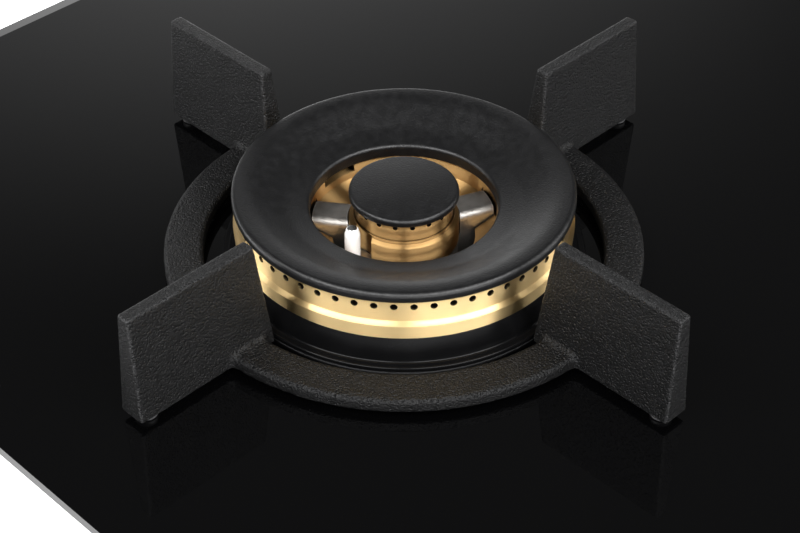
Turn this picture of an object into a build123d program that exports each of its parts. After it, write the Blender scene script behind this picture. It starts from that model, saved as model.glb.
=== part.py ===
from build123d import *
from math import atan2, cos, degrees, hypot, radians, sin
import os

# A two-burner gas cooktop for building into a worktop: a black glass top with a
# pressed steel tray below it, two wok burners with brass flame rings, cast iron
# pan supports, and two push-and-turn taps.
# Millimetres. +X right, +Y to the back, +Z up. The origin is under the middle of
# the tray, on the level that the tray stands on.

os.makedirs("parts", exist_ok=True)

# ---------------------------------------------------------------- driving sizes
# Glass top
glass_width = 800.0
glass_depth = 510.0
glass_thick = 4.0
glass_corner = 5.0
facet_run = 7.5             # polished slope along the front and rear edges
facet_drop = 1.5
seal_width = 8.0
seal_thick = 2.0
seal_inset = 8.0

# Tray under the glass
seal_gap = 14.0             # from the seal under the glass to the tray's walls
tray_height = 52.0          # from the tray's underside to the underside of the glass
tray_wall = 1.0
tray_corner = 12.0
vent_length = 40.0
vent_width = 3.0
vent_pitch = 8.0
vent_count = 7
vent_inset = 60.0           # middle of each vent row, from the tray's side wall
vent_setback = 50.0         # and from its rear wall

# Burner places
burner_edge = 180.0         # burner axis to the side edge of the glass
knob_offset = 55.0          # tap axis from the middle of the hob
knob_edge = 60.0            # tap axis to the front edge of the glass

# Gaps
seat_gap = 0.3              # between a lift-off piece and its seat
run_gap = 0.05              # radial gap of a part that turns or slides in a bore
slip_gap = 0.5              # radial gap of a part that drops into place
rest_gap = 0.1              # between fixed pieces that stand side by side
screw_gap = 0.2             # radial gap of a screw in a plain hole
over = 1.0                  # cutters run this far past the faces that they cut
wall_cut = 3.0              # half the length of a cutter through a sheet wall

# Burner, heights counted from the glass top
glass_hole_radius = 62.0
base_flange_radius = 72.8
base_flange_thick = 1.8
base_gasket_thick = 1.5
base_gasket_inset = 0.8
base_lip = 3.0              # inward flange at the skirt's foot
base_wall = 2.0
base_foot_radius = 69.6
base_top_radius = 66.4
base_top = 12.9
ring_radius = 67.5          # widest line of the brass ring, under its bevel
ring_foot_radius = 67.1
ring_neck_radius = 66.0
ring_bevel_low = 19.2
ring_bevel_high = 20.8
ring_top = 29.7
ring_wall = 4.0
ring_step = 6.0             # width of the ring's foot on the skirt
ring_floor = 2.0
ring_floor_low = 15.2
bowl_rim_radius = 38.2
bowl_rim_thick = 3.0
bowl_rim_top = 20.2
bowl_bend_radius = 37.0
bowl_bend_height = 14.6
bowl_edge_radius = 28.5
bowl_edge_height = 10.0
notch_width = 16.4          # gaps in the bowl's rim
notch_angles = (90.0, 270.0)
feed_hole_count = 6         # gas holes from the chamber into the ring
feed_hole_radius = 2.6
feed_hole_start = 40.0
port_count = 56
port_radius = 1.4
port_height = 27.4
crown_radius = 19.4
crown_wall = 3.0
crown_top = 29.0
crown_slots = 18
crown_slot_width = 1.95
crown_slot_low = 26.2
collar_radius = 21.9
collar_top = 21.2
collar_shoulder = 2.0       # drop of the collar's outer step
collar_slope_run = 1.7
collar_slope_rise = 0.9
collar_round = 0.7
collar_pocket = 7.6         # hollow in the collar round the igniter
crown_foot = 0.9            # small step where the crown stands on the collar
crown_foot_rise = 0.7
crown_slot_turn = 45.0
crown_low = 9.0
spigot_length = 4.0
arm_width = 14.0
arm_top = 17.8
arm_reach = 36.4
arm_angles = (-24.0, 126.0)
arm_round = 3.0
arm_drop = 2.5              # top of an arm below the bowl's edge, outside its pillar
chamber_in = 41.5
chamber_out = 53.0
chamber_wall = 2.4
chamber_low = -8.0
core_inset = 0.4            # core's outside inside the crown's collar
core_wall = 3.5
core_floor = 2.5
tube_length = 14.0          # mixing tubes below the chamber
tube_wall = 2.0
rib_angle = 250.0
rib_width = 5.0
rib_height = 6.0
ear_radius = 4.5
ear_low = 4.0
base_flange_round = 0.8
base_foot_round = 1.2
base_top_round = 0.9
base_screw_radius = 57.0
base_screw_angles = (30.0, 150.0, 270.0)

# Caps
cap_radius = 67.5
cap_hole_radius = 37.1
cap_edge_thick = 4.5
cap_hole_top = 25.8
cap_round = 2.0
cap_under_round = 1.4
cap_hole_round = 1.8
cap_hole_under_round = 0.6
cap_land = 7.0              # level band inside the cap's rim
cap_land_round = 18.0
cap_dish = 9.0              # gentler band round the hole, and its rise
cap_dish_rise = 1.8
cap_dish_round = 20.0
cap_lug_count = 4
cap_lug_width = 3.2
cap_lug_depth = 3.5
cap_lug_drop = 6.0
inner_cap_radius = 21.7
inner_cap_thick = 3.0
inner_cap_crown = 1.2
inner_cap_round = 1.5
inner_cap_under_round = 0.6
dome_middle = 0.55          # share of the radius where the dome has
dome_middle_rise = 0.72     # this share of its height
inner_lug_count = 3
inner_lug_width = 2.8
inner_lug_depth = 2.0
inner_lug_drop = 4.0
inner_lug_turn = 45.0

# Igniter and flame sensor, from the burner's axis
igniter_x = -25.3
igniter_y = 3.0
igniter_radius = 3.1
igniter_flange = 0.6
igniter_flange_top = 2.0
igniter_flange_slope = 0.4
igniter_shank = 0.4         # how much thinner it is below its lug
igniter_shank_slope = 0.5
igniter_taper_round = 2.0
igniter_tip_round = 0.35
igniter_top = 24.4
igniter_low = -22.0
igniter_taper = 2.6
igniter_tip = 0.75          # how much narrower the tip is
electrode_radius = 1.5
electrode_head = 0.45
electrode_head_thick = 0.5
electrode_head_round = 0.3
electrode_tail = 5.0
pass_gap = 1.4              # round the igniter and the sensor where they pass the bowl
sensor_angle = 20.0
sensor_reach = 27.0
sensor_radius = 1.6
sensor_top = 21.0
sensor_low = -18.0
sensor_neck = 0.6           # how much thicker the finger's foot is
sensor_neck_top = 6.0
sensor_neck_slope = 0.8
sensor_flange = 1.0
sensor_flange_top = 1.6
sensor_tip_round = 1.2
sleeve_wall = 0.9
lug_half_width = 5.5        # ears that hold the igniter and the sensor
lug_thick = 4.0

# Pan support
support_clear = 7.1         # from the skirt's flange to the ring
support_width = 15.7
support_top = 8.0
support_low = 2.4
support_round = 1.6
support_under_round = 1.0
fin_count = 4
fin_top = 49.3
fin_low = 2.7
fin_clear = 1.5             # from the skirt's flange to the fins
fin_lean = 5.2              # how far the fins' inner ends lean out
fin_out_top = 137.7
fin_out_low = 138.6
fin_thick_top = 5.5
fin_thick_low = 11.7
fin_round = 0.8
fin_blend = 2.5             # fillet between the fins and the ring
foot_radius = 4.2
foot_round = 0.5
foot_place = 132.0
peg_radius = 2.0
peg_length = 3.0
foot_gap = 0.1              # foot above the glass

# Injector block below each burner, heights counted from the glass top
block_top = -32.0
block_height = 10.0
block_width = 18.0
mixing_reach = 32.0         # outer ring's mixing tube, from the burner's axis
venturi_radius = 14.0
mixing_bore = 5.0
mixing_tube = 11.0
passage_width = 6.0         # from the mixing tube into the chamber
passage_height = 7.0
leg_radius = 5.0
leg_reach = 22.0
strut_width = 6.0
strut_height = 5.0
hanger_radius = 4.0
hanger_reach = 18.0         # pillar that ties the block to the core
hanger_angle = 205.0
socket_length = 5.0
injector_radius = 4.0
injector_height = 8.0
injector_hexagon = 3.2
injector_spigot = 3.0
jet_radius = 0.6

# Gas line
rail_radius = 8.0
rail_wall = 1.5
rail_length = 210.0
rail_behind = 24.0          # rail axis behind the tap axis
rail_height = 34.0
rail_end = 2.0              # thickness of the rail's closed end
rail_foot_inset = 22.0
rail_foot_width = 12.0
rail_foot_reach = 14.0
rail_foot_thick = 2.0
pipe_radius = 4.0
pipe_wall = 1.0
pipe_height = 19.0
pipe_bend = 14.0
cross_line = -118.0         # where the rear pipes turn towards their burner
inlet_inset = 45.0          # gas connection from the tray's side wall
inlet_pipe_radius = 6.0
inlet_bend = 24.0
thread_radius = 10.48       # half-inch parallel pipe thread, over its crests
thread_length = 18.0        # outside the tray wall
shank_radius = 10.8         # in the tray wall and the lock nut
relief_radius = 9.6         # groove between the lock nut and the free thread
relief_width = 1.5
nipple_bore = 5.0
nipple_setback = 22.0       # end of the inlet pipe inside the tray wall
nipple_socket = 6.0
nipple_wall = 2.5
nut_height = 4.0
hex_flats = 27.0
hex_height = 7.0

# Tap
tap_width = 26.0
tap_low = 13.0
tap_top = 39.9
tap_round = 2.5
boss_length = 6.0
boss_wall = 1.5
plug_seat = 0.2             # floor of the plug bore below the plug
inlet_bore = 2.5
outlet_slot = 1.8
plug_port = 1.3
plug_port_rise = 5.0
plug_radius = 7.95
plug_low = 18.2
plug_top = 30.0
stem_radius = 3.0
stem_collar_radius = 5.0
stem_collar_low = 38.0
stem_collar_thick = 1.6
stem_tip = 17.3
stem_top = 72.0
stem_flat = 2.2             # from the axis to the stem's flat
bonnet_thick = 2.0
bonnet_round = 2.0
bonnet_shelf = 12.0         # bonnet's plate in front of the tap, for the switch
push_travel = 3.0
spring_wire = 0.7
spring_radius = 5.4
spring_turns = 5
magnet_low = 2.0
magnet_radius = 8.5
magnet_floor = 0.8
magnet_round = 1.0
plunger_room = 5.0
plunger_head_radius = 4.4
plunger_head_thick = 2.4
plunger_rod_radius = 1.5
plunger_rod_length = 8.1
plunger_gap = 0.6

# Knob and its ring on the glass
knob_radius = 21.0
knob_top_radius = 19.6
knob_gap = 4.6              # underside of the knob above the glass
knob_height = 20.0
knob_shell = 2.2
knob_round = 1.6
knob_rim_round = 0.6
knob_inner_round = 1.0
knob_hub_radius = 6.0
hub_gap = 1.4               # pressed knob's hub above its ring
pointer_length = 13.0
pointer_width = 1.8
pointer_rise = 0.6
pointer_inset = 1.8
pointer_round = 0.25
bezel_radius = 25.5
bezel_plate = 1.2
bezel_rim = 2.5
bezel_rim_width = 2.0
bezel_round = 0.8
bezel_inner_round = 0.6
bezel_collar = 3.5          # collar down into the glass hole
bezel_bore = 4.0
stem_hole_radius = 6.5
switch_width = 16.0
switch_depth = 7.0
switch_height = 7.0
switch_round = 0.6
switch_lever = 0.6
switch_lever_width = 3.0
switch_tab = 0.8
switch_tab_width = 3.0
switch_tab_length = 3.0
switch_tab_pitch = 5.0

# Fixings
screw_radius = 2.0
screw_head_radius = 3.2
screw_head_height = 1.9
screw_head_round = 0.6
screw_slot_width = 0.8
screw_slot_depth = 0.9
tray_screw_length = 6.0
long_screw_length = 8.0
clamp_width = 24.0
clamp_reach = 20.0
clamp_low = 10.0
clamp_tall = 20.0
clamp_screw_rise = 12.0
clamp_thick = 2.0
clamp_round = 1.8
clamp_pitch = 300.0         # between the clamps of one side
bracket_width = 30.0
bracket_leg = 12.0
bracket_thick = 1.2
bracket_pitch = 420.0
bracket_screw_drop = 7.0    # screws below the glass

# Wiring
module_width = 70.0
module_depth = 44.0
module_height = 27.0
module_setback = 95.0       # middle of the module, from the tray's rear wall
module_corner = 4.0
module_round = 1.0
post_wall = 1.5
post_length = 5.0
lead_radius = 1.5
lead_height = 8.0
lead_bend = 9.0
lead_wide_bend = 18.0
capillary_radius = 1.0
capillary_height = 7.5
capillary_lane = 44.0       # its run beside the burner, from the burner's axis
capillary_turn = 26.0       # its cross run behind the pipes'
capillary_bend = 12.0
capillary_near_bend = 9.0
capillary_end_bend = 7.2
gland_spacing = 75.0        # from the gas connection
gland_height = 26.0
gland_bore = 4.0
gland_radius = 8.0
gland_length = 14.0
gland_flange = 3.0
gland_flange_thick = 5.0
gland_round = 1.5

# --------------------------------------------------------------- worked out once
tray_inset = seal_inset + seal_width + seal_gap
tray_width = glass_width - 2 * tray_inset
tray_depth = glass_depth - 2 * tray_inset
vent_place = tray_width / 2 - vent_inset
vent_line = tray_depth / 2 - vent_setback
support_in = base_flange_radius + support_clear
support_out = support_in + support_width
fin_in_low = base_flange_radius + fin_clear
fin_in_top = fin_in_low + fin_lean
glass_low = tray_height
glass_top = tray_height + glass_thick
burner_places = ((-(glass_width / 2 - burner_edge), "left"), (glass_width / 2 - burner_edge, "right"))
tap_places = ((-knob_offset, "left"), (knob_offset, "right"))
tap_y = knob_edge - glass_depth / 2
floor_top = tray_wall
cap_low = ring_top + seat_gap
cap_top = cap_low + cap_edge_thick
inner_cap_low = crown_top + seat_gap
knob_low = glass_top + knob_gap
knob_top = knob_low + knob_height
core_out = collar_radius - core_inset
core_in = core_out - core_wall
tube_low = chamber_low - tube_length
shoulder = base_top - base_wall
skirt_lip_radius = base_foot_radius - base_wall - base_lip
sleeve_radius = sensor_radius + sleeve_wall
screw_level = tray_height - bracket_screw_drop
clamp_level = clamp_low + clamp_screw_rise
rail_y = tap_y + rail_behind
tap_half = tap_width / 2
tap_back = tap_y + tap_half
inlet_x = tray_width / 2 - inlet_inset
inlet_y = tray_depth / 2
nut_face = inlet_y + rest_gap + nut_height
gland_x = inlet_x - gland_spacing
module_y = tray_depth / 2 - module_setback
pipe_bore = pipe_radius - pipe_wall
pipe_end = inlet_y - nipple_setback
wall_inside = inlet_y - tray_wall - rest_gap


# ------------------------------------------------------------------ small helpers
def save(shape, node):
    """Write one node's STEP file."""
    shape.label = node
    export_step(shape, os.path.join("parts", node + ".step"))


def outline(points, rounds=()):
    """Upright face from (radius, height) corners; rounds lists (corner, radius)."""
    face = make_face(Polyline(*points, close=True))
    for corner, radius in rounds:
        nearest = face.vertices().sort_by_distance(Vector(*corner))[0]
        face = fillet(nearest, radius)
    return Plane.XZ * face


def turned(points, rounds=()):
    """Solid of revolution about Z."""
    return revolve(outline(points, rounds), Axis.Z)


def rod(radius, low, high):
    """Upright round bar on the Z axis."""
    return Pos(0, 0, low) * Cylinder(radius, high - low, align=(Align.CENTER, Align.CENTER, Align.MIN))


def pipe_ring(outer, inner, low, high):
    """Upright tube on the Z axis."""
    return rod(outer, low, high) - rod(inner, low, high)


def block(x_low, x_high, y_low, y_high, z_low, z_high):
    """Box between six planes."""
    size = (x_high - x_low, y_high - y_low, z_high - z_low)
    return Pos((x_low + x_high) / 2, (y_low + y_high) / 2, (z_low + z_high) / 2) * Box(*size)


def along_y(radius, y_low, y_high):
    """Round bar along Y."""
    bar = Rot(90, 0, 0) * Cylinder(radius, y_high - y_low)
    return Pos(0, (y_low + y_high) / 2, 0) * bar


def along_x(radius, x_low, x_high):
    """Round bar along X."""
    bar = Rot(0, 90, 0) * Cylinder(radius, x_high - x_low)
    return Pos((x_low + x_high) / 2, 0, 0) * bar


def tube_path(points, bends, outer, inner=0.0):
    """Round tube or rod along straight runs joined by tangent arcs."""
    path = FilletPolyline(*points, radius=bends)
    start = Plane(origin=path @ 0, z_dir=path % 0)
    body = sweep(start * Circle(outer), path=path)
    if inner > 0:
        body -= sweep(start * Circle(inner), path=path)
    return body


def gather(pieces):
    """Several separate solids as one node."""
    solids = []
    for piece in pieces:
        solids.extend(piece.solids())
    return Compound(children=solids)


def at_burner(x):
    """Frame with its origin on the glass at a burner's axis."""
    return Pos(x, 0, glass_top)


def polar(reach, angle):
    """Point at a distance and an angle in the plan."""
    return reach * cos(radians(angle)), reach * sin(radians(angle))


def screw(shank):
    """Slotted screw pointing down, its head standing on z = 0."""
    head = rod(screw_head_radius, 0, screw_head_height)
    head = fillet(head.edges().sort_by(Axis.Z)[-1], screw_head_round)
    reach = screw_head_radius + over
    half = screw_slot_width / 2
    slot = block(-reach, reach, -half, half, screw_head_height - screw_slot_depth, screw_head_height + over)
    return head - slot + rod(screw_radius - run_gap, -shank, 0)


def hexagon_nut(flats, height):
    """Hexagon along -Y from the origin."""
    return Rot(90, 0, 0) * extrude(RegularPolygon(flats / 2, 6, major_radius=False), height)


# -------------------------------------------------------------------- glass and seal
def glass_panel():
    """Glass plate with two burner holes, two stem holes, and facets front and rear."""
    plan = RectangleRounded(glass_width, glass_depth, glass_corner)
    plate = Pos(0, 0, glass_low) * extrude(plan, glass_thick)
    slope = facet_drop / facet_run
    for side in (-1, 1):
        edge = side * glass_depth / 2
        corners = (
            (edge - side * facet_run, glass_top),
            (edge + side * over, glass_top - facet_drop - slope * over),
            (edge + side * over, glass_top + over),
            (edge - side * facet_run, glass_top + over),
        )
        wedge = Plane.YZ * make_face(Polyline(*corners, close=True))
        plate -= Pos(-glass_width / 2 - over, 0, 0) * extrude(wedge, glass_width + 2 * over)
    for x, _ in burner_places:
        plate -= Pos(x, 0, 0) * rod(glass_hole_radius, glass_low - over, glass_top + over)
    for x, _ in tap_places:
        plate -= Pos(x, tap_y, 0) * rod(stem_hole_radius, glass_low - over, glass_top + over)
    return plate


def glass_seal():
    """Foam strip round the underside of the glass, which lies on the worktop."""
    outer = RectangleRounded(glass_width - 2 * seal_inset, glass_depth - 2 * seal_inset, glass_corner)
    inset = seal_inset + seal_width
    inner = RectangleRounded(glass_width - 2 * inset, glass_depth - 2 * inset, glass_corner)
    return Pos(0, 0, glass_low - seal_thick) * extrude(outer - inner, seal_thick)


# ------------------------------------------------------------------------------ tray
screw_rows = [(x, side) for side in (-1, 1) for x in (-bracket_pitch / 2, bracket_pitch / 2)]
clamp_places = [(side, y) for side in (-1, 1) for y in (-clamp_pitch / 2, clamp_pitch / 2)]


def bottom_tray():
    """Pressed tray with two rows of vent slots, and holes for what passes its walls."""
    outside = extrude(RectangleRounded(tray_width, tray_depth, tray_corner), tray_height - rest_gap)
    inside_size = (tray_width - 2 * tray_wall, tray_depth - 2 * tray_wall)
    inside_plan = RectangleRounded(*inside_size, tray_corner - tray_wall)
    tray = outside - Pos(0, 0, floor_top) * extrude(inside_plan, tray_height)
    vent = extrude(Rot(0, 0, 90) * SlotOverall(vent_length, vent_width), tray_wall + 2 * over)
    half_row = vent_pitch * (vent_count - 1) / 2
    for middle in (-vent_place, vent_place):
        for step in range(vent_count):
            tray -= Pos(middle - half_row + step * vent_pitch, vent_line, -over) * vent
    for x, side in screw_rows:
        hole = along_y(screw_radius + screw_gap, -wall_cut, wall_cut)
        tray -= Pos(x, side * tray_depth / 2, screw_level) * hole
    for side, y in clamp_places:
        hole = along_x(screw_radius, -wall_cut, wall_cut)
        tray -= Pos(side * tray_width / 2, y, clamp_level) * hole
    tray -= Pos(inlet_x, inlet_y, rail_height) * along_y(shank_radius + rest_gap, -wall_cut, wall_cut)
    tray -= Pos(gland_x, inlet_y, gland_height) * along_y(gland_radius + rest_gap, -wall_cut, wall_cut)
    return tray


def glass_brackets():
    """Angle pieces bonded under the glass, which the tray is screwed to."""
    face = tray_depth / 2 - tray_wall - rest_gap
    half = bracket_width / 2
    leg = block(-half, half, face - bracket_thick, face, glass_low - bracket_leg, glass_low)
    pad = block(-half, half, face - bracket_leg, face, glass_low - bracket_thick, glass_low)
    hole = Pos(0, face, screw_level) * along_y(screw_radius, -wall_cut, wall_cut)
    bracket = leg + pad - hole
    turned_about = Rot(0, 0, 180) * bracket
    return gather([Pos(x, 0, 0) * (bracket if side > 0 else turned_about) for x, side in screw_rows])


def tray_screws():
    """Screws through the tray wall into the angle pieces."""
    fixing = Pos(0, tray_depth / 2, screw_level) * (Rot(-90, 0, 0) * screw(tray_screw_length))
    turned_about = Rot(0, 0, 180) * fixing
    return gather([Pos(x, 0, 0) * (fixing if side > 0 else turned_about) for x, side in screw_rows])


def worktop_clamps():
    """Bent strips that grip the worktop from below, screwed to the tray's side walls."""
    wall = tray_width / 2 + rest_gap
    half = clamp_width / 2
    upright = block(wall, wall + clamp_thick, -half, half, clamp_low, clamp_low + clamp_tall)
    arm = block(wall, wall + clamp_reach, -half, half, clamp_low, clamp_low + clamp_thick)
    hole = Pos(wall, 0, clamp_level) * along_x(screw_radius + screw_gap, -wall_cut, wall_cut)
    clamp = upright + arm - hole
    bend = clamp.edges().filter_by(Axis.Y).sort_by_distance((wall, 0, clamp_low))[0]
    clamp = fillet(bend, clamp_round)
    turned_about = Rot(0, 0, 180) * clamp
    return gather([Pos(0, y, 0) * (clamp if side > 0 else turned_about) for side, y in clamp_places])


def clamp_screws():
    """Screws that hold the worktop clamps."""
    start = tray_width / 2 + rest_gap + clamp_thick
    fixing = Pos(start, 0, clamp_level) * (Rot(0, 90, 0) * screw(long_screw_length))
    turned_about = Rot(0, 0, 180) * fixing
    return gather([Pos(0, y, 0) * (fixing if side > 0 else turned_about) for side, y in clamp_places])


# --------------------------------------------------------------------------- burner
def burner_base():
    """Enamelled skirt that stands on the glass and carries the brass ring."""
    low = base_gasket_thick
    rise = low + base_flange_thick
    points = (
        (skirt_lip_radius, low),
        (base_flange_radius, low),
        (base_flange_radius, rise),
        (base_foot_radius, rise),
        (base_top_radius, base_top),
        (chamber_out + seat_gap, base_top),
        (chamber_out + seat_gap, shoulder),
        (base_top_radius - base_wall, shoulder),
        (base_foot_radius - base_wall, rise),
        (skirt_lip_radius, rise),
    )
    rounds = (
        ((base_flange_radius, rise), base_flange_round),
        ((base_foot_radius, rise), base_foot_round),
        ((base_top_radius, base_top), base_top_round),
    )
    body = turned(points, rounds)
    for angle in base_screw_angles:
        x, y = polar(base_screw_radius, angle)
        body -= Pos(x, y, 0) * rod(screw_radius + screw_gap, shoulder - over, base_top + over)
    return body


def base_gasket():
    """Flat silicone ring between the skirt and the glass."""
    return pipe_ring(base_flange_radius - base_gasket_inset, skirt_lip_radius, 0, base_gasket_thick)


def base_screw_set():
    """Screws through the skirt into the mixer body's ears."""
    places = [polar(base_screw_radius, angle) for angle in base_screw_angles]
    return [Pos(x, y, base_top) * screw(long_screw_length) for x, y in places]


def mixer_body():
    """Cast aluminium body: gas chamber, mixing tubes, two arms and the injector block."""
    chamber_top = ring_floor_low - seat_gap
    body = turned((
        (chamber_in, chamber_low),
        (chamber_out, chamber_low),
        (chamber_out, chamber_top),
        (chamber_out - chamber_wall, chamber_top),
        (chamber_out - chamber_wall, chamber_low + chamber_wall),
        (chamber_in + chamber_wall, chamber_low + chamber_wall),
        (chamber_in + chamber_wall, chamber_top),
        (chamber_in, chamber_top),
    ))
    body += pipe_ring(core_out, core_in, chamber_low, crown_low - seat_gap)
    body += pipe_ring(core_out, venturi_radius, chamber_low, chamber_low + core_floor)
    body += pipe_ring(venturi_radius + tube_wall, venturi_radius, tube_low, chamber_low)
    for angle in arm_angles:
        body += Rot(0, 0, angle) * mixer_arm()
    body -= rod(collar_radius + slip_gap, crown_low - seat_gap, arm_top + over)
    body -= rod(core_in, chamber_low + core_floor, crown_low)
    feed_x, feed_y = polar(mixing_reach, arm_angles[0])
    body += Pos(feed_x, feed_y, 0) * rod(mixing_tube, tube_low, chamber_low)
    body -= Pos(feed_x, feed_y, 0) * rod(mixing_bore, tube_low - over, arm_top - chamber_wall - over)
    half = passage_width / 2
    floor = chamber_low + chamber_wall
    passage_end = chamber_in + chamber_wall + over
    passage = block(mixing_reach, passage_end, -half, half, floor, floor + passage_height)
    body -= Rot(0, 0, arm_angles[0]) * passage
    half = rib_width / 2
    rib = block(core_out - over, chamber_in + over, -half, half, chamber_low, chamber_low + rib_height)
    body += Rot(0, 0, rib_angle) * rib
    for angle in base_screw_angles:
        body += Rot(0, 0, angle) * screw_ear()
    body += sensor_lug(igniter_x, igniter_y, igniter_radius + rest_gap)
    body += sensor_lug(*polar(sensor_reach, sensor_angle), sleeve_radius + rest_gap)
    return body + injector_block()


def mixer_arm():
    """Arm along +X from the core to the chamber, tall inside the bowl and low beneath it."""
    half = arm_width / 2
    low_top = bowl_edge_height - arm_drop
    high = block(core_out - tube_wall, arm_reach, -half, half, chamber_low, arm_top)
    ridges = high.edges().filter_by(Axis.X).group_by(Axis.Z)[-1]
    high = fillet(ridges, arm_round)
    high -= rod(chamber_in, low_top, arm_top + over) - rod(arm_reach, low_top - over, arm_top + 2 * over)
    return high + block(arm_reach - over, chamber_in + over, -half, half, chamber_low, low_top)


def screw_ear():
    """Ear on the chamber's outside, along +X, that a skirt screw goes into."""
    top = shoulder - seat_gap
    ear = block(chamber_out - over, base_screw_radius, -ear_radius, ear_radius, ear_low, top)
    ear += Pos(base_screw_radius, 0, 0) * rod(ear_radius, ear_low, top)
    ear -= Pos(base_screw_radius, 0, 0) * rod(screw_radius, ear_low - over, top + over)
    return ear - rod(chamber_out - chamber_wall, ear_low - over, top + over)


def sensor_lug(x, y, hole):
    """Ear on the mixer body that holds the igniter or the flame sensor."""
    reach = hypot(x, y)
    lug = block(core_in + over, reach, -lug_half_width, lug_half_width, -lug_thick, 0)
    lug += Pos(reach, 0, 0) * rod(lug_half_width, -lug_thick, 0)
    lug -= Pos(reach, 0, 0) * rod(hole, -lug_thick - over, over)
    return Rot(0, 0, degrees(atan2(y, x))) * lug


def injector_block():
    """Bar below the mixing tubes with two injector seats, two pipe sockets and its legs."""
    low = block_top - block_height
    half = block_width / 2
    feed_x, feed_y = polar(mixing_reach, arm_angles[0])
    bar = Rot(0, 0, arm_angles[0]) * block(0, mixing_reach, -half, half, low, block_top)
    bar += rod(half, low, block_top)
    bar += Pos(feed_x, feed_y, 0) * rod(half, low, block_top)
    leg_bottom = floor_top - glass_top
    bar += rod(leg_radius, leg_bottom, low)
    back_x, back_y = polar(leg_reach, arm_angles[1])
    bar += Pos(back_x, back_y, 0) * rod(leg_radius, leg_bottom, chamber_low + over)
    side_x, side_y = polar(hanger_reach, hanger_angle)
    bar += Pos(side_x, side_y, 0) * rod(hanger_radius, low, chamber_low + over)
    for reach, angle in ((leg_reach, arm_angles[1]), (hanger_reach, hanger_angle)):
        strut = block(half - 2 * over, reach, -strut_width / 2, strut_width / 2, low, low + strut_height)
        bar += Rot(0, 0, angle) * strut
    level = low + block_height / 2
    for x, y in ((0, 0), (feed_x, feed_y)):
        place = Pos(x, y, level)
        bar += place * along_y(block_height / 2, -half - socket_length, 0)
        bar -= place * along_y(pipe_radius + run_gap, -half - socket_length - over, -half)
        bar -= place * along_y(pipe_bore, -half - over, 0)
        bar -= place * rod(injector_radius - over, 0, block_height)
    return bar


def injector_pair():
    """Two brass jets that stand on the injector block."""
    nose_low = injector_hexagon
    spigot = injector_radius - over - run_gap
    jet = extrude(RegularPolygon(injector_radius, 6, major_radius=False), nose_low)
    jet -= rod(jet_radius, -over, nose_low + over)
    jet += turned((
        (jet_radius, nose_low),
        (spigot, nose_low),
        (spigot - over, injector_height),
        (jet_radius, injector_height),
    ))
    jet += pipe_ring(spigot, jet_radius, -injector_spigot, 0)
    return [Pos(x, y, block_top) * jet for x, y in ((0, 0), polar(mixing_reach, arm_angles[0]))]


def outer_ring():
    """Brass flame ring: gas channel, one row of ports, bevel line and inner bowl."""
    floor = ring_floor_low + ring_floor
    low = base_top + seat_gap
    rim_out = bowl_rim_radius + bowl_rim_thick
    channel = ring_neck_radius - ring_wall
    body = turned((
        (ring_foot_radius, low),
        (ring_radius, ring_bevel_low),
        (ring_neck_radius, ring_bevel_high),
        (ring_neck_radius, ring_top),
        (channel, ring_top),
        (channel, floor),
        (rim_out, floor),
        (rim_out, bowl_rim_top),
        (bowl_rim_radius, bowl_rim_top),
        (bowl_bend_radius, bowl_bend_height),
        (bowl_edge_radius, bowl_edge_height),
        (bowl_edge_radius, bowl_edge_height - ring_floor),
        (bowl_bend_radius, bowl_bend_height - ring_floor),
        (rim_out, ring_floor_low),
        (ring_foot_radius - ring_step, ring_floor_low),
        (ring_foot_radius - ring_step, low),
    ))
    port = Pos(0, 0, port_height) * along_x(port_radius, channel - over, ring_neck_radius + over)
    for step in range(port_count):
        body -= Rot(0, 0, (step + 0.5) * 360 / port_count) * port
    half = arm_width / 2 + slip_gap
    arm_slot = block(bowl_edge_radius - over, arm_reach + slip_gap, -half, half, 0, arm_top + slip_gap)
    for angle in arm_angles:
        body -= Rot(0, 0, angle) * arm_slot
    half = notch_width / 2
    notch = block(bowl_bend_radius - over, rim_out + over, -half, half, floor, bowl_rim_top + over)
    for angle in notch_angles:
        body -= Rot(0, 0, angle) * notch
    for step in range(feed_hole_count):
        x, y = polar((chamber_in + chamber_out) / 2, feed_hole_start + step * 360 / feed_hole_count)
        body -= Pos(x, y, 0) * rod(feed_hole_radius, ring_floor_low - over, floor + over)
    body -= Pos(igniter_x, igniter_y, 0) * rod(igniter_radius + pass_gap, 0, ring_top)
    sensor_x, sensor_y = polar(sensor_reach, sensor_angle)
    body -= Pos(sensor_x, sensor_y, 0) * rod(sensor_radius + pass_gap, 0, ring_top)
    return body


def inner_crown():
    """Brass inner burner: slotted crown over a stepped collar, with a spigot in the core."""
    bore = crown_radius - crown_wall
    spigot = core_in - seat_gap
    step_low = collar_top - collar_shoulder
    body = turned(
        (
            (bore, crown_low - spigot_length),
            (spigot, crown_low - spigot_length),
            (spigot, crown_low),
            (collar_radius, crown_low),
            (collar_radius, step_low),
            (collar_radius - collar_slope_run, step_low + collar_slope_rise),
            (crown_radius + crown_foot, collar_top - crown_foot_rise),
            (crown_radius + crown_foot_rise, collar_top),
            (crown_radius, collar_top),
            (crown_radius, crown_top),
            (bore, crown_top),
        ),
        (((collar_radius, step_low), collar_round),),
    )
    half = crown_slot_width / 2
    centre = crown_slot_low + half
    slot = block(bore - over, crown_radius + over, -half, half, centre, crown_top + over)
    slot += Pos(0, 0, centre) * along_x(half, bore - over, crown_radius + over)
    for step in range(crown_slots):
        body -= Rot(0, 0, crown_slot_turn + (step + 0.5) * 360 / crown_slots) * slot
    return body - Pos(igniter_x, igniter_y, 0) * rod(collar_pocket, crown_low - over, collar_top - rest_gap)


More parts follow.
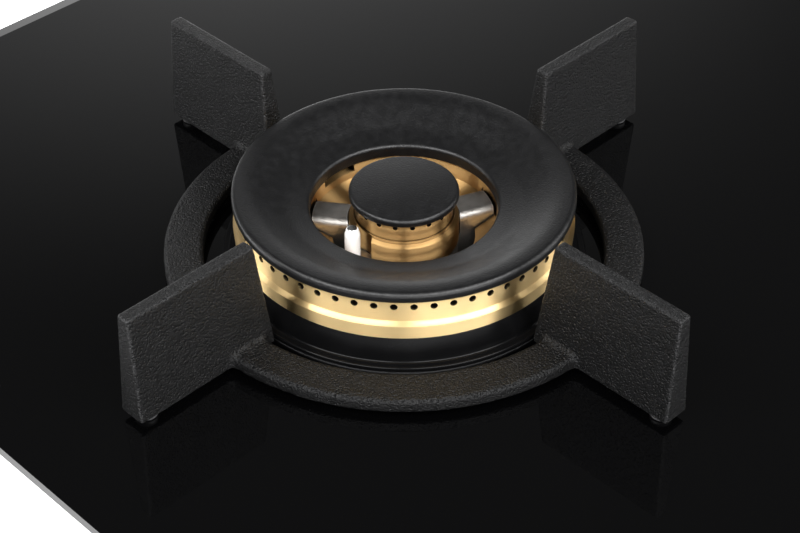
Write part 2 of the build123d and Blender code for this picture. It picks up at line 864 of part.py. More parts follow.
def ring_cap():
    """Enamelled cap of the outer ring, dished towards its hole, with lugs below."""
    hole_low = bowl_rim_top + seat_gap
    rim_out = bowl_rim_radius + bowl_rim_thick
    channel = ring_neck_radius - ring_wall
    land_in = (cap_radius - cap_land, cap_top)
    dish = (cap_hole_radius + cap_dish, cap_hole_top + cap_dish_rise)
    body = turned(
        (
            (cap_hole_radius, cap_hole_top),
            (cap_hole_radius, hole_low),
            (rim_out + over, hole_low),
            (channel - over, cap_low),
            (cap_radius, cap_low),
            (cap_radius, cap_top),
            land_in,
            dish,
        ),
        (
            ((cap_radius, cap_top), cap_round),
            ((cap_radius, cap_low), cap_under_round),
            ((cap_hole_radius, cap_hole_top), cap_hole_round),
            ((cap_hole_radius, hole_low), cap_hole_under_round),
            (land_in, cap_land_round),
            (dish, cap_dish_round),
        ),
    )
    reach = channel - seat_gap
    half = cap_lug_width / 2
    lug = block(reach - cap_lug_depth, reach, -half, half, cap_low - cap_lug_drop, cap_low + over)
    for step in range(cap_lug_count):
        body += Rot(0, 0, step * 360 / cap_lug_count) * lug
    return body


def inner_cap():
    """Enamelled cap of the inner crown, slightly domed, with lugs below."""
    rim = inner_cap_low + inner_cap_thick
    peak = (0, rim + inner_cap_crown)
    middle = (inner_cap_radius * dome_middle, rim + inner_cap_crown * dome_middle_rise)
    dome = ThreePointArc(peak, middle, (inner_cap_radius, rim))
    sides = Polyline((inner_cap_radius, rim), (inner_cap_radius, inner_cap_low), (0, inner_cap_low), peak)
    face = make_face([dome, *sides.edges()])
    rounds = (
        ((inner_cap_radius, rim), inner_cap_round),
        ((inner_cap_radius, inner_cap_low), inner_cap_under_round),
    )
    for corner, radius in rounds:
        nearest = face.vertices().sort_by_distance(Vector(*corner))[0]
        face = fillet(nearest, radius)
    body = revolve(Plane.XZ * face, Axis.Z)
    reach = crown_radius - crown_wall - seat_gap
    half = inner_lug_width / 2
    lug_low = inner_cap_low - inner_lug_drop
    lug = block(reach - inner_lug_depth, reach, -half, half, lug_low, inner_cap_low + over)
    for step in range(inner_lug_count):
        body += Rot(0, 0, inner_lug_turn + step * 360 / inner_lug_count) * lug
    return body


def igniter():
    """Ceramic tube of the spark igniter, tapered at its tip, with a seating flange."""
    bore = electrode_radius + run_gap
    flange = igniter_radius + igniter_flange
    taper = (igniter_radius, igniter_top - igniter_taper)
    tip = (igniter_radius - igniter_tip, igniter_top)
    points = (
        (bore, igniter_low),
        (igniter_radius - igniter_shank, igniter_low),
        (igniter_radius - igniter_shank, -lug_thick - igniter_shank_slope),
        (igniter_radius, -lug_thick),
        (igniter_radius, 0.0),
        (flange, 0.0),
        (flange, igniter_flange_top),
        (igniter_radius, igniter_flange_top + igniter_flange_slope),
        taper,
        tip,
        (bore, igniter_top),
    )
    rounds = ((taper, igniter_taper_round), (tip, igniter_tip_round))
    return Pos(igniter_x, igniter_y, 0) * turned(points, rounds)


def electrode():
    """Steel pin in the igniter's ceramic, its flat head on the tip."""
    head = rod(electrode_radius + electrode_head, igniter_top, igniter_top + electrode_head_thick)
    head = fillet(head.edges().sort_by(Axis.Z)[-1], electrode_head_round)
    pin = rod(electrode_radius, igniter_low - electrode_tail, igniter_top)
    return Pos(igniter_x, igniter_y, 0) * (head + pin)


def thermocouple():
    """Flame sensor: a thin steel finger in a thicker sleeve, with a seating flange."""
    x, y = polar(sensor_reach, sensor_angle)
    neck = sensor_radius + sensor_neck
    points = (
        (0, sensor_low),
        (sleeve_radius, sensor_low),
        (sleeve_radius, 0.0),
        (sleeve_radius + sensor_flange, 0.0),
        (sleeve_radius + sensor_flange, sensor_flange_top),
        (neck, sensor_flange_top),
        (neck, sensor_neck_top),
        (sensor_radius, sensor_neck_top + sensor_neck_slope),
        (sensor_radius, sensor_top),
        (0, sensor_top),
    )
    return Pos(x, y, 0) * turned(points, (((sensor_radius, sensor_top), sensor_tip_round),))


def pan_support():
    """Cast ring with four tapering fins that carry the pan."""
    ring = turned(
        (
            (support_in, support_low),
            (support_out, support_low),
            (support_out, support_top),
            (support_in, support_top),
        ),
        (
            ((support_in, support_top), support_round),
            ((support_out, support_top), support_round),
            ((support_in, support_low), support_under_round),
            ((support_out, support_low), support_under_round),
        ),
    )
    half_low = fin_thick_low / 2
    half_top = fin_thick_top / 2
    section = Plane.YZ * make_face(Polyline(
        (-half_low, fin_low),
        (half_low, fin_low),
        (half_top, fin_top),
        (-half_top, fin_top),
        close=True,
    ))
    side = Plane.XZ * make_face(Polyline(
        (fin_in_low, fin_low),
        (fin_out_low, fin_low),
        (fin_out_top, fin_top),
        (fin_in_top, fin_top),
        close=True,
    ))
    fin = extrude(section, fin_out_low + over) & extrude(side, fin_thick_low, both=True)
    low_rim, uprights, top_rim = fin.edges().group_by(Axis.Z)
    fin = fillet(low_rim + uprights + top_rim, fin_round)
    fin -= Pos(foot_place, 0, 0) * rod(peg_radius + run_gap, 0, fin_low + peg_length + seat_gap)
    body = ring
    for step in range(fin_count):
        body += Rot(0, 0, step * 360 / fin_count) * fin
    junctions = [
        edge for edge in body.edges().filter_by(GeomType.LINE)
        if abs(edge.center().Z - support_top) < run_gap and edge.length > 2 * fin_blend
    ]
    return fillet(junctions, fin_blend)


def support_feet():
    """Four silicone feet, each with a peg in a fin's blind hole."""
    foot = rod(foot_radius, foot_gap, fin_low)
    foot = fillet(foot.edges().sort_by(Axis.Z)[0], foot_round)
    foot += rod(peg_radius, fin_low, fin_low + peg_length)
    foot = Pos(foot_place, 0, 0) * foot
    return gather([Rot(0, 0, step * 360 / fin_count) * foot for step in range(fin_count)])


# ------------------------------------------------------------------------- gas line
def gas_rail():
    """Closed tube that feeds both taps, on two welded feet."""
    half = rail_length / 2
    rail = along_x(rail_radius, -half, half)
    rail -= along_x(rail_radius - rail_wall, -half + rail_end, half + over)
    rail = Pos(0, rail_y, rail_height) * rail
    for x, _ in tap_places:
        tap_hole = along_y(pipe_radius + rest_gap, -rail_radius - over, -rail_wall)
        rail -= Pos(x, rail_y, rail_height) * tap_hole
    half_foot = rail_foot_width / 2
    post_half = rail_foot_thick / 2
    for x in (-half + rail_foot_inset, half - rail_foot_inset):
        low = x - half_foot
        high = x + half_foot
        front = rail_y - post_half
        back = rail_y + rail_foot_reach
        rail += block(low, high, front, rail_y + post_half, floor_top, rail_height - rail_radius + over)
        foot = block(low, high, front, back, floor_top, floor_top + rail_foot_thick)
        hole = rod(screw_radius + screw_gap, floor_top - over, floor_top + rail_foot_thick + over)
        rail += foot - Pos(x, back - half_foot, 0) * hole
    return rail


def inlet_pipe():
    """Bent pipe from the rear connection to the rail."""
    start = (rail_length / 2, rail_y, rail_height)
    corner = (inlet_x, rail_y, rail_height)
    end = (inlet_x, pipe_end, rail_height)
    return tube_path((start, corner, end), (inlet_bend,), inlet_pipe_radius, inlet_pipe_radius - pipe_wall)


def inlet_nipple():
    """Threaded connection through the tray's rear wall, with a hexagon inside."""
    socket_end = pipe_end - nipple_socket
    body = along_y(shank_radius, wall_inside, nut_face)
    body += along_y(relief_radius, nut_face, nut_face + relief_width)
    body += along_y(thread_radius, nut_face + relief_width, inlet_y + thread_length)
    body += Pos(0, wall_inside, 0) * hexagon_nut(hex_flats, hex_height)
    body += along_y(inlet_pipe_radius + nipple_wall, socket_end, wall_inside)
    body -= along_y(nipple_bore, socket_end - over, inlet_y + thread_length + over)
    body -= along_y(inlet_pipe_radius + run_gap, socket_end - over, pipe_end)
    return Pos(inlet_x, 0, rail_height) * body


def inlet_nut():
    """Lock nut of the gas connection, outside the tray wall."""
    nut = Pos(0, nut_face, 0) * hexagon_nut(hex_flats, nut_height)
    nut -= along_y(shank_radius + run_gap, inlet_y - over, nut_face + over)
    return Pos(inlet_x, 0, rail_height) * nut


def feed_point(x):
    """Where a burner's outer ring takes its gas, in the hob's frame."""
    feed_x, feed_y = polar(mixing_reach, arm_angles[0])
    return x + feed_x, feed_y


def burner_pipe(tap_x, goal_x, goal_y, from_rear):
    """Bent pipe from a tap outlet to a socket of the injector block."""
    end = (goal_x, goal_y - block_width / 2, pipe_height)
    if from_rear:
        start = (tap_x, tap_back + boss_length, pipe_height)
        points = (start, (tap_x, cross_line, pipe_height), (goal_x, cross_line, pipe_height), end)
        bends = (pipe_bend, pipe_bend)
    else:
        side = 1 if goal_x > tap_x else -1
        start = (tap_x + side * (tap_half + boss_length), tap_y, pipe_height)
        points = (start, (goal_x, tap_y, pipe_height), end)
        bends = (pipe_bend,)
    return tube_path(points, bends, pipe_radius, pipe_bore)


# ------------------------------------------------------------------------------ tap
def valve_body(side):
    """Brass tap body with its plug bore, inlet boss and two outlets."""
    facing = Rot(0, 0, 0 if side > 0 else 180)
    outlet_level = Pos(0, 0, pipe_height)
    inlet_level = Pos(0, 0, rail_height)
    boss_radius = pipe_radius + boss_wall
    outer_end = tap_half + boss_length
    body = block(-tap_half, tap_half, -tap_half, tap_half, tap_low, tap_top)
    body = fillet(body.edges().filter_by(Axis.Z), tap_round)
    inlet_end = rail_behind - rail_radius + rail_wall + over
    body += inlet_level * along_y(pipe_radius, tap_half - over, inlet_end)
    body += outlet_level * along_y(boss_radius, tap_half - over, outer_end)
    body += outlet_level * (facing * along_x(boss_radius, tap_half - over, outer_end))
    body -= rod(plug_radius + run_gap, plug_low - plug_seat, tap_top + over)
    body -= rod(plunger_head_radius + plunger_gap, tap_low - over, plug_low)
    body -= inlet_level * along_y(inlet_bore, plug_radius, rail_behind)
    body -= outlet_level * along_y(pipe_bore, tap_half, outer_end + over)
    body -= outlet_level * (facing * along_x(pipe_bore, tap_half, outer_end + over))
    slot_level = Pos(0, 0, pipe_height + outlet_slot)
    body -= slot_level * along_y(outlet_slot, plug_radius, tap_half + over)
    body -= slot_level * (facing * along_x(outlet_slot, plug_radius, tap_half + over))
    return body


def bonnet():
    """Steel plate that closes the tap and carries the ignition switch."""
    plate = block(-tap_half, tap_half, -tap_half - bonnet_shelf, tap_half, tap_top, tap_top + bonnet_thick)
    plate = fillet(plate.edges().filter_by(Axis.Z), bonnet_round)
    return plate - rod(stem_radius + rest_gap, tap_top - over, tap_top + bonnet_thick + over)


def valve_plug():
    """Turning plug with its gas port and a flatted bore that the stem slides in."""
    reach = plug_radius + over
    flat_side = block(-reach, stem_flat + run_gap, -reach, reach, 0, tap_top)
    bore = rod(stem_radius + run_gap, plug_low - over, plug_top + over) & flat_side
    port = Pos(0, 0, plug_low + plug_port_rise) * along_y(plug_port, stem_radius - over, reach)
    return rod(plug_radius, plug_low, plug_top) - bore - port


def valve_stem():
    """Stem with a flat at each end and the collar that stops under the bonnet."""
    reach = stem_radius + over
    stem = rod(stem_radius, stem_tip, stem_top)
    for low, high in ((stem_tip - over, stem_collar_low), (glass_top, stem_top + over)):
        stem -= block(stem_flat, reach, -reach, reach, low, high)
    return stem + rod(stem_collar_radius, stem_collar_low, stem_collar_low + stem_collar_thick)


def stem_spring():
    """Compression spring between the plug and the stem's collar."""
    low = plug_top + rest_gap + spring_wire / 2
    high = stem_collar_low - rest_gap - spring_wire / 2
    pitch = (high - low) / spring_turns
    coil = Pos(0, 0, low) * Helix(pitch=pitch, height=high - low, radius=spring_radius)
    start = Plane(origin=coil @ 0, z_dir=coil % 0)
    return sweep(start * Circle(spring_wire / 2), path=coil, is_frenet=True)


def magnet_unit():
    """Flame-failure magnet can below the tap."""
    can = rod(magnet_radius, magnet_low, tap_low)
    can = fillet(can.edges().sort_by(Axis.Z)[0], magnet_round)
    can -= rod(plunger_head_radius + plunger_gap, tap_low - plunger_room, tap_low + over)
    can -= rod(plunger_rod_radius + rest_gap, magnet_low + magnet_floor, tap_low)
    return can


def safety_plunger():
    """Armature that the stem pushes down when the knob is pressed."""
    head_top = stem_tip - seat_gap
    head_low = head_top - plunger_head_thick
    plunger = rod(plunger_head_radius, head_low, head_top)
    return plunger + rod(plunger_rod_radius, head_low - plunger_rod_length, head_low)


def knob():
    """Hollow knob with a hub on the stem, a rounded rim and a raised pointer."""
    hub_low = glass_top + bezel_plate + push_travel + hub_gap
    ceiling = knob_top - knob_shell
    body = turned(
        (
            (0, knob_top),
            (knob_top_radius, knob_top),
            (knob_radius, knob_low),
            (knob_radius - knob_shell, knob_low),
            (knob_top_radius - knob_shell, ceiling),
            (knob_hub_radius, ceiling),
            (knob_hub_radius, hub_low),
            (0, hub_low),
        ),
        (
            ((knob_top_radius, knob_top), knob_round),
            ((knob_radius, knob_low), knob_rim_round),
            ((knob_top_radius - knob_shell, ceiling), knob_inner_round),
        ),
    )
    reach = stem_radius + over
    flat_side = block(-reach, stem_flat + run_gap, -reach, reach, hub_low - over, stem_top + over)
    body -= rod(stem_radius + run_gap, hub_low - over, stem_top + screw_gap) & flat_side
    half = pointer_width / 2
    outer = knob_top_radius - pointer_inset
    pointer = block(-half, half, outer - pointer_length, outer, knob_top - over, knob_top + pointer_rise)
    pointer = fillet(pointer.edges().group_by(Axis.Z)[-1], pointer_round)
    return body + pointer


def knob_bezel():
    """Ring on the glass round the knob, with a collar in the glass hole."""
    plate_top = glass_top + bezel_plate
    rim_top = glass_top + bezel_rim
    rim_in = bezel_radius - bezel_rim_width
    collar = stem_hole_radius - rest_gap
    points = (
        (bezel_bore, glass_top - bezel_collar),
        (collar, glass_top - bezel_collar),
        (collar, glass_top),
        (bezel_radius, glass_top),
        (bezel_radius, rim_top),
        (rim_in, rim_top),
        (rim_in, plate_top),
        (bezel_bore, plate_top),
    )
    rounds = (((bezel_radius, rim_top), bezel_round), ((rim_in, rim_top), bezel_inner_round))
    return turned(points, rounds)


def microswitch():
    """Ignition switch on the bonnet, its lever reaching to the stem."""
    low = tap_top + bonnet_thick
    front = -tap_half - bonnet_shelf + over
    back = front + switch_depth
    half = switch_width / 2
    middle = low + switch_height / 2
    body = block(-half, half, front, back, low, low + switch_height)
    body = fillet(body.edges().filter_by(Axis.Y), switch_round)
    half = switch_lever_width / 2
    body += block(-half, half, back - over, -stem_radius - seat_gap, middle, middle + switch_lever)
    half = switch_tab / 2
    tab_low = middle - switch_tab_width / 2
    tab_high = middle + switch_tab_width / 2
    for x in (-switch_tab_pitch, 0, switch_tab_pitch):
        body += block(x - half, x + half, front - switch_tab_length, front + over, tab_low, tab_high)
    return body


# --------------------------------------------------------------------------- wiring
def ignition_module():
    """Spark transformer on the tray floor, with a terminal post at each side."""
    half_x = module_width / 2
    half_y = module_depth / 2
    case_top = floor_top + module_height
    case = block(-half_x, half_x, module_y - half_y, module_y + half_y, floor_top, case_top)
    case = fillet(case.edges().filter_by(Axis.Z), module_corner)
    case = fillet(case.edges().group_by(Axis.Z)[-1], module_round)
    post = along_x(lead_radius + post_wall, half_x - over, half_x + post_length)
    for turn in (0, 180):
        case += Pos(0, module_y, lead_height) * (Rot(0, 0, turn) * post)
    return case


def ignition_lead(burner_x):
    """High-voltage lead from the module to a burner's igniter."""
    side = -1 if burner_x < 0 else 1
    x = burner_x + igniter_x
    points = (
        (x, igniter_y, glass_top + igniter_low - electrode_tail),
        (x, igniter_y, lead_height),
        (x, module_y, lead_height),
        (side * (module_width / 2 + post_length), module_y, lead_height),
    )
    return tube_path(points, (lead_bend, lead_wide_bend), lead_radius)


def thermocouple_lead(burner_x, tap_x):
    """Copper capillary from the flame sensor to the magnet can."""
    reach_x, reach_y = polar(sensor_reach, sensor_angle)
    x = burner_x + reach_x
    lane = burner_x + capillary_lane
    turn = cross_line + capillary_turn
    points = (
        (tap_x, tap_y + magnet_radius, capillary_height),
        (tap_x, turn, capillary_height),
        (lane, turn, capillary_height),
        (lane, reach_y, capillary_height),
        (x, reach_y, capillary_height),
        (x, reach_y, glass_top + sensor_low),
    )
    bends = (capillary_bend, capillary_bend, capillary_near_bend, capillary_end_bend)
    return tube_path(points, bends, capillary_radius)


def mains_gland():
    """Cable gland in the tray's rear wall, its bore empty."""
    outer_end = inlet_y + gland_length
    body = along_y(gland_radius, wall_inside - over, outer_end)
    body += along_y(gland_radius + gland_flange, wall_inside - gland_flange_thick, wall_inside)
    nut = hexagon_nut(2 * gland_radius + gland_flange, gland_flange_thick)
    body += Pos(0, inlet_y + rest_gap + gland_flange_thick, 0) * nut
    body -= along_y(gland_bore, wall_inside - gland_flange_thick - over, outer_end + over)
    tip = body.edges().filter_by(GeomType.CIRCLE).group_by(Axis.Y)[-1].sort_by(SortBy.RADIUS)[-1]
    body = fillet(tip, gland_round)
    return Pos(gland_x, 0, gland_height) * body


# --------------------------------------------------------------------- write nodes
save(glass_panel(), "glass_panel")
save(glass_seal(), "glass_seal")
save(bottom_tray(), "bottom_tray")
save(glass_brackets(), "glass_brackets")
save(tray_screws(), "tray_screws")
save(worktop_clamps(), "worktop_clamps")
save(clamp_screws(), "clamp_screws")
save(gas_rail(), "gas_rail")
save(inlet_pipe(), "inlet_pipe")
save(inlet_nipple(), "inlet_nipple")
save(inlet_nut(), "inlet_nut")
save(ignition_module(), "ignition_module")
save(mains_gland(), "mains_gland")

save(gather([at_burner(x) * base_gasket() for x, _ in burner_places]), "base_gaskets")
save(gather([at_burner(x) * screw for x, _ in burner_places for screw in base_screw_set()]), "base_screws")
save(gather([at_burner(x) * jet for x, _ in burner_places for jet in injector_pair()]), "injectors")
save(gather([at_burner(x) * electrode() for x, _ in burner_places]), "electrodes")
save(gather([Pos(x, tap_y, 0) * bonnet() for x, _ in tap_places]), "tap_bonnets")
save(gather([Pos(x, tap_y, 0) * microswitch() for x, _ in tap_places]), "microswitches")
save(gather([Pos(x, tap_y, 0) * magnet_unit() for x, _ in tap_places]), "magnet_units")
save(gather([ignition_lead(x) for x, _ in burner_places]), "ignition_leads")
taps_and_burners = [(x, tap_x) for (x, _), (tap_x, _) in zip(burner_places, tap_places)]
save(gather([thermocouple_lead(x, tap_x) for x, tap_x in taps_and_burners]), "thermocouple_leads")

for (burner_x, name), (tap_x, _) in zip(burner_places, tap_places):
    place = at_burner(burner_x)
    save(place * burner_base(), "burner_base_" + name)
    save(place * mixer_body(), "mixer_body_" + name)
    save(place * outer_ring(), "outer_ring_" + name)
    save(place * inner_crown(), "inner_crown_" + name)
    save(place * ring_cap(), "ring_cap_" + name)
    save(place * inner_cap(), "inner_cap_" + name)
    save(place * igniter(), "igniter_" + name)
    save(place * thermocouple(), "thermocouple_" + name)
    save(place * pan_support(), "pan_support_" + name)
    save(place * support_feet(), "support_feet_" + name)

    feed_x, feed_y = feed_point(burner_x)
    outer_is_near = abs(feed_x - tap_x) < abs(burner_x - tap_x)
    save(burner_pipe(tap_x, burner_x, 0, not outer_is_near), "inner_pipe_" + name)
    save(burner_pipe(tap_x, feed_x, feed_y, outer_is_near), "outer_pipe_" + name)

    tap = Pos(tap_x, tap_y, 0)
    save(tap * valve_body(1 if tap_x > 0 else -1), "valve_body_" + name)
    save(tap * valve_plug(), "valve_plug_" + name)
    save(tap * valve_stem(), "valve_stem_" + name)
    save(tap * stem_spring(), "stem_spring_" + name)
    save(tap * safety_plunger(), "safety_plunger_" + name)
    save(tap * knob(), "knob_" + name)
    save(tap * knob_bezel(), "knob_bezel_" + name)
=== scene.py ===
# %% [markdown]
# # A gas cooktop with two wok burners
# The solids of the part come in as a fixed frame, and this file dresses them. Most of them
# keep their shape and only get a finish. The pieces that need more than a solid can give,
# such as the cast pan supports, are made again here and stand in for the solid.
# Everything is in metres, with +Z up and the origin under the middle of the tray.

# %% Load the frame
import math

import bmesh
import bpy
import numpy as np
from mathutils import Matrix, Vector, noise


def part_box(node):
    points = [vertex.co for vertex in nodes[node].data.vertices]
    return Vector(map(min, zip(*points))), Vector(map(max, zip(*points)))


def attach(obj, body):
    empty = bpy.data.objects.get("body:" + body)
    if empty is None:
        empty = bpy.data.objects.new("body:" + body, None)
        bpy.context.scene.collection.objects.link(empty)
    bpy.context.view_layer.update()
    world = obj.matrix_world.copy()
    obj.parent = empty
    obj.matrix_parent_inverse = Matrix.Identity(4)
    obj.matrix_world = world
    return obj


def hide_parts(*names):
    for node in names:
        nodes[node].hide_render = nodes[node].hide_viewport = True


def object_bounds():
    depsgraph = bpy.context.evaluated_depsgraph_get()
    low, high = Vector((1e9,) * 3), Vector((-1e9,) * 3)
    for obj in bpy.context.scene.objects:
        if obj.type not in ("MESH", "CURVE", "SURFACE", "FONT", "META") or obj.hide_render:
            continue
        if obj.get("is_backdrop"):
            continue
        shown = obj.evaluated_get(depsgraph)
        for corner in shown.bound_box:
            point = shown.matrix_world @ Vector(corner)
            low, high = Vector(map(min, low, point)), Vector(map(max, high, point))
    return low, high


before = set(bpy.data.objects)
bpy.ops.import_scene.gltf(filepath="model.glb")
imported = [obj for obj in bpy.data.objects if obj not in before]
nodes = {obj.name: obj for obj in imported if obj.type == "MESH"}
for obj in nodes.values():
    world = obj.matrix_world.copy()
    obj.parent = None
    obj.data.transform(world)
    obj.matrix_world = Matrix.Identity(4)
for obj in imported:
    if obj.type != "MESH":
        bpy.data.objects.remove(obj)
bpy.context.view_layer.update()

# %% [markdown]
# ## Where things are
# Both burners are the same, so most sizes are needed once.

# %% Burner places and levels
MM = 0.001
SIDES = ("left", "right")
GLASS_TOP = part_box("glass_panel")[1].z


def middle(name):
    """Middle of a solid's box, in the plan."""
    low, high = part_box(name)
    return (low.x + high.x) / 2, (low.y + high.y) / 2


burner_at = {side: middle("ring_cap_" + side) for side in SIDES}
BURNER_OFFSET = burner_at["right"][0]
print("burners", burner_at, "glass top", round(GLASS_TOP, 4))

# %% [markdown]
# ## The camera
# The picture looks down on the left burner along the diagonal of the pan support, through
# a long lens. A lens of 83 mm on a 36 mm sensor keeps the circles nearly the same width
# from front to back. Only the place and the turn of the camera are set, and no shift.

# %% Camera
CAMERA_PLACE = (-0.6291, -0.4091, 0.5240)
CAMERA_PITCH = 50.585
CAMERA_TURN = -44.888
CAMERA_ROLL = 0.054
LENS = 83.3
SENSOR = 36.0
NEAREST = 0.05

camera_data = bpy.data.cameras.new("camera")
camera_data.lens = LENS
camera_data.sensor_width = SENSOR
camera_data.clip_start = NEAREST
camera = bpy.data.objects.new("camera", camera_data)
camera.location = CAMERA_PLACE
camera.rotation_euler = [math.radians(a) for a in (CAMERA_PITCH, CAMERA_ROLL, CAMERA_TURN)]
bpy.context.scene.collection.objects.link(camera)
bpy.context.scene.camera = camera
print("camera at", CAMERA_PLACE)

# %% [markdown]
# ## Small helpers for node trees
# A material in Blender is a net of nodes. These few functions add a node, set its sockets
# and link it in one line, so that each finish below reads as a recipe.

# %% Node helpers
# A Mix node has sockets for each kind of data. These are the numbers of its colours.
MIX_FIRST, MIX_SECOND, MIX_RESULT = 6, 7, 2
FLOAT = "NodeSocketFloat"
VECTOR = "NodeSocketVector"


def put(tree, kind, sockets=None, **settings):
    """Add a node. settings are its own properties, and sockets sets or links its inputs."""
    made = tree.nodes.new(kind)
    for key, value in settings.items():
        setattr(made, key, value)
    for key, value in (sockets or {}).items():
        if isinstance(value, bpy.types.NodeSocket):
            tree.links.new(value, made.inputs[key])
        else:
            made.inputs[key].default_value = value
    return made


def maths(tree, operation, first, second=0.0):
    """One step of arithmetic, as a socket."""
    return put(tree, "ShaderNodeMath", {0: first, 1: second}, operation=operation).outputs[0]


def spread(tree, value, low, high, out_low=0.0, out_high=1.0):
    """Ease a value from one range into another, as a socket."""
    made = put(tree, "ShaderNodeMapRange", {
        "Value": value, "From Min": low, "From Max": high,
        "To Min": out_low, "To Max": out_high}, interpolation_type="SMOOTHSTEP")
    return made.outputs["Result"]


def blend_colour(tree, factor, first, second):
    """Mix two colours, as a socket."""
    made = put(tree, "ShaderNodeMix", data_type="RGBA")
    for key, value in ((0, factor), (MIX_FIRST, first), (MIX_SECOND, second)):
        if isinstance(value, bpy.types.NodeSocket):
            tree.links.new(value, made.inputs[key])
        elif key == 0:
            made.inputs[key].default_value = value
        else:
            made.inputs[key].default_value = (*value, 1.0)
    return made.outputs[MIX_RESULT]


print("node helpers ready")

# %% Group helpers
def shader_group(name, inputs, outputs):
    """An empty node group with named sockets, and its input and output nodes."""
    tree = bpy.data.node_groups.new(name, "ShaderNodeTree")
    for label, kind, value in inputs:
        socket = tree.interface.new_socket(label, in_out="INPUT", socket_type=kind)
        if value is not None:
            socket.default_value = value
    for label, kind in outputs:
        tree.interface.new_socket(label, in_out="OUTPUT", socket_type=kind)
    return tree, tree.nodes.new("NodeGroupInput"), tree.nodes.new("NodeGroupOutput")


def place_group(tree, group, sockets):
    """Put a group into a material with its own values."""
    return put(tree, "ShaderNodeGroup", sockets, node_tree=group)


print("group helpers ready")

# %% [markdown]
# ## Effects that several finishes share
# Cast iron, enamel, plastic and plated steel all have some grain: small bumps, and a
# tone that drifts over the surface. One group makes both from noise at three sizes.

# %% Group: surface grain
COARSE_SHARE = 0.22
PIT_SHARE = 0.7

grain_group, grain_in, grain_out = shader_group(
    "surface_grain",
    (("Vector", VECTOR, None), ("Scale", FLOAT, 400.0), ("Pits", FLOAT, 0.3),
     ("Swell", FLOAT, 1.0)),
    (("Height", FLOAT), ("Tone", FLOAT)),
)
place, scale = grain_in.outputs["Vector"], grain_in.outputs["Scale"]
fine = put(grain_group, "ShaderNodeTexNoise", {
    "Vector": place, "Scale": scale, "Detail": 3.0, "Roughness": 0.6})
coarse = put(grain_group, "ShaderNodeTexNoise", {
    "Vector": place, "Scale": maths(grain_group, "MULTIPLY", scale, COARSE_SHARE),
    "Detail": 2.0, "Roughness": 0.5})
cells = put(grain_group, "ShaderNodeTexVoronoi", {
    "Vector": place, "Scale": maths(grain_group, "MULTIPLY", scale, PIT_SHARE)})
pits = spread(grain_group, cells.outputs["Distance"], 0.05, 0.45)
pit_depth = maths(grain_group, "MULTIPLY", maths(grain_group, "SUBTRACT", pits, 1.0),
                  grain_in.outputs["Pits"])
height = maths(grain_group, "ADD", fine.outputs["Fac"], pit_depth)
swell = maths(grain_group, "MULTIPLY", coarse.outputs["Fac"], grain_in.outputs["Swell"])
height = maths(grain_group, "ADD", height, swell)
tone = spread(grain_group, coarse.outputs["Fac"], 0.3, 0.7)
grain_group.links.new(height, grain_out.inputs["Height"])
grain_group.links.new(tone, grain_out.inputs["Tone"])
print(grain_group.name, "has", len(grain_group.nodes), "nodes")

# %% [markdown]
# Edges that hands and pans touch are worn, and on the iron the same lighter edges also
# stand for the light that the edges catch, a painted highlight. A Bevel node bends the normal
# near an edge, so the difference between that normal and the true one shows where the edges
# are.

# %% Group: worn and highlit edges
# How alike the two normals are on a flat spot, and at an edge that counts in full.
FLAT, AT_EDGE = 0.997, 0.90

edge_wear_and_highlight_group, edge_in, edge_out = shader_group(
    "worn_and_highlit_edges",
    (("Vector", VECTOR, None), ("Radius", FLOAT, 1.2 * MM), ("Breakup", FLOAT, 700.0)),
    (("Mask", FLOAT),),
)
rounded = put(edge_wear_and_highlight_group, "ShaderNodeBevel", {"Radius": edge_in.outputs["Radius"]}, samples=6)
plain = put(edge_wear_and_highlight_group, "ShaderNodeNewGeometry")
likeness = put(edge_wear_and_highlight_group, "ShaderNodeVectorMath",
               {0: rounded.outputs["Normal"], 1: plain.outputs["Normal"]},
               operation="DOT_PRODUCT")
edge = spread(edge_wear_and_highlight_group, likeness.outputs["Value"], FLAT, AT_EDGE)
patches = put(edge_wear_and_highlight_group, "ShaderNodeTexNoise", {
    "Vector": edge_in.outputs["Vector"], "Scale": edge_in.outputs["Breakup"], "Detail": 2.0})
broken = spread(edge_wear_and_highlight_group, patches.outputs["Fac"], 0.35, 0.65, 0.35, 1.0)
edge_wear_and_highlight_group.links.new(maths(edge_wear_and_highlight_group, "MULTIPLY", edge, broken), edge_out.inputs["Mask"])
print(edge_wear_and_highlight_group.name, "has", len(edge_wear_and_highlight_group.nodes), "nodes")

# %% [markdown]
# Flame ports and slots are painted black inside: a painted shade, because little light gets
# in.
# An Ambient Occlusion node measures how closed in a spot is, over a few millimetres.

# %% Group: painted shade in holes
hole_shade_group, hole_shade_in, hole_shade_out = shader_group(
    "painted_hole_shade",
    (("Reach", FLOAT, 4 * MM), ("Open", FLOAT, 0.78), ("Closed", FLOAT, 0.42)),
    (("Mask", FLOAT),),
)
closed_in = put(hole_shade_group, "ShaderNodeAmbientOcclusion", {
    "Distance": hole_shade_in.outputs["Reach"]}, samples=8)
hole_shade = spread(hole_shade_group, closed_in.outputs["AO"],
              hole_shade_in.outputs["Open"], hole_shade_in.outputs["Closed"])
hole_shade_group.links.new(hole_shade, hole_shade_out.inputs["Mask"])
print(hole_shade_group.name, "has", len(hole_shade_group.nodes), "nodes")

# %% [markdown]
# Brass and steel that come off a lathe carry rings round their axis. The group measures
# the distance from the nearest burner's axis and makes fine lines of it. Walls get lines
# as well, because the height is taken from the distance.

# %% Group: turned lines
BAND_FINENESS = 450.0

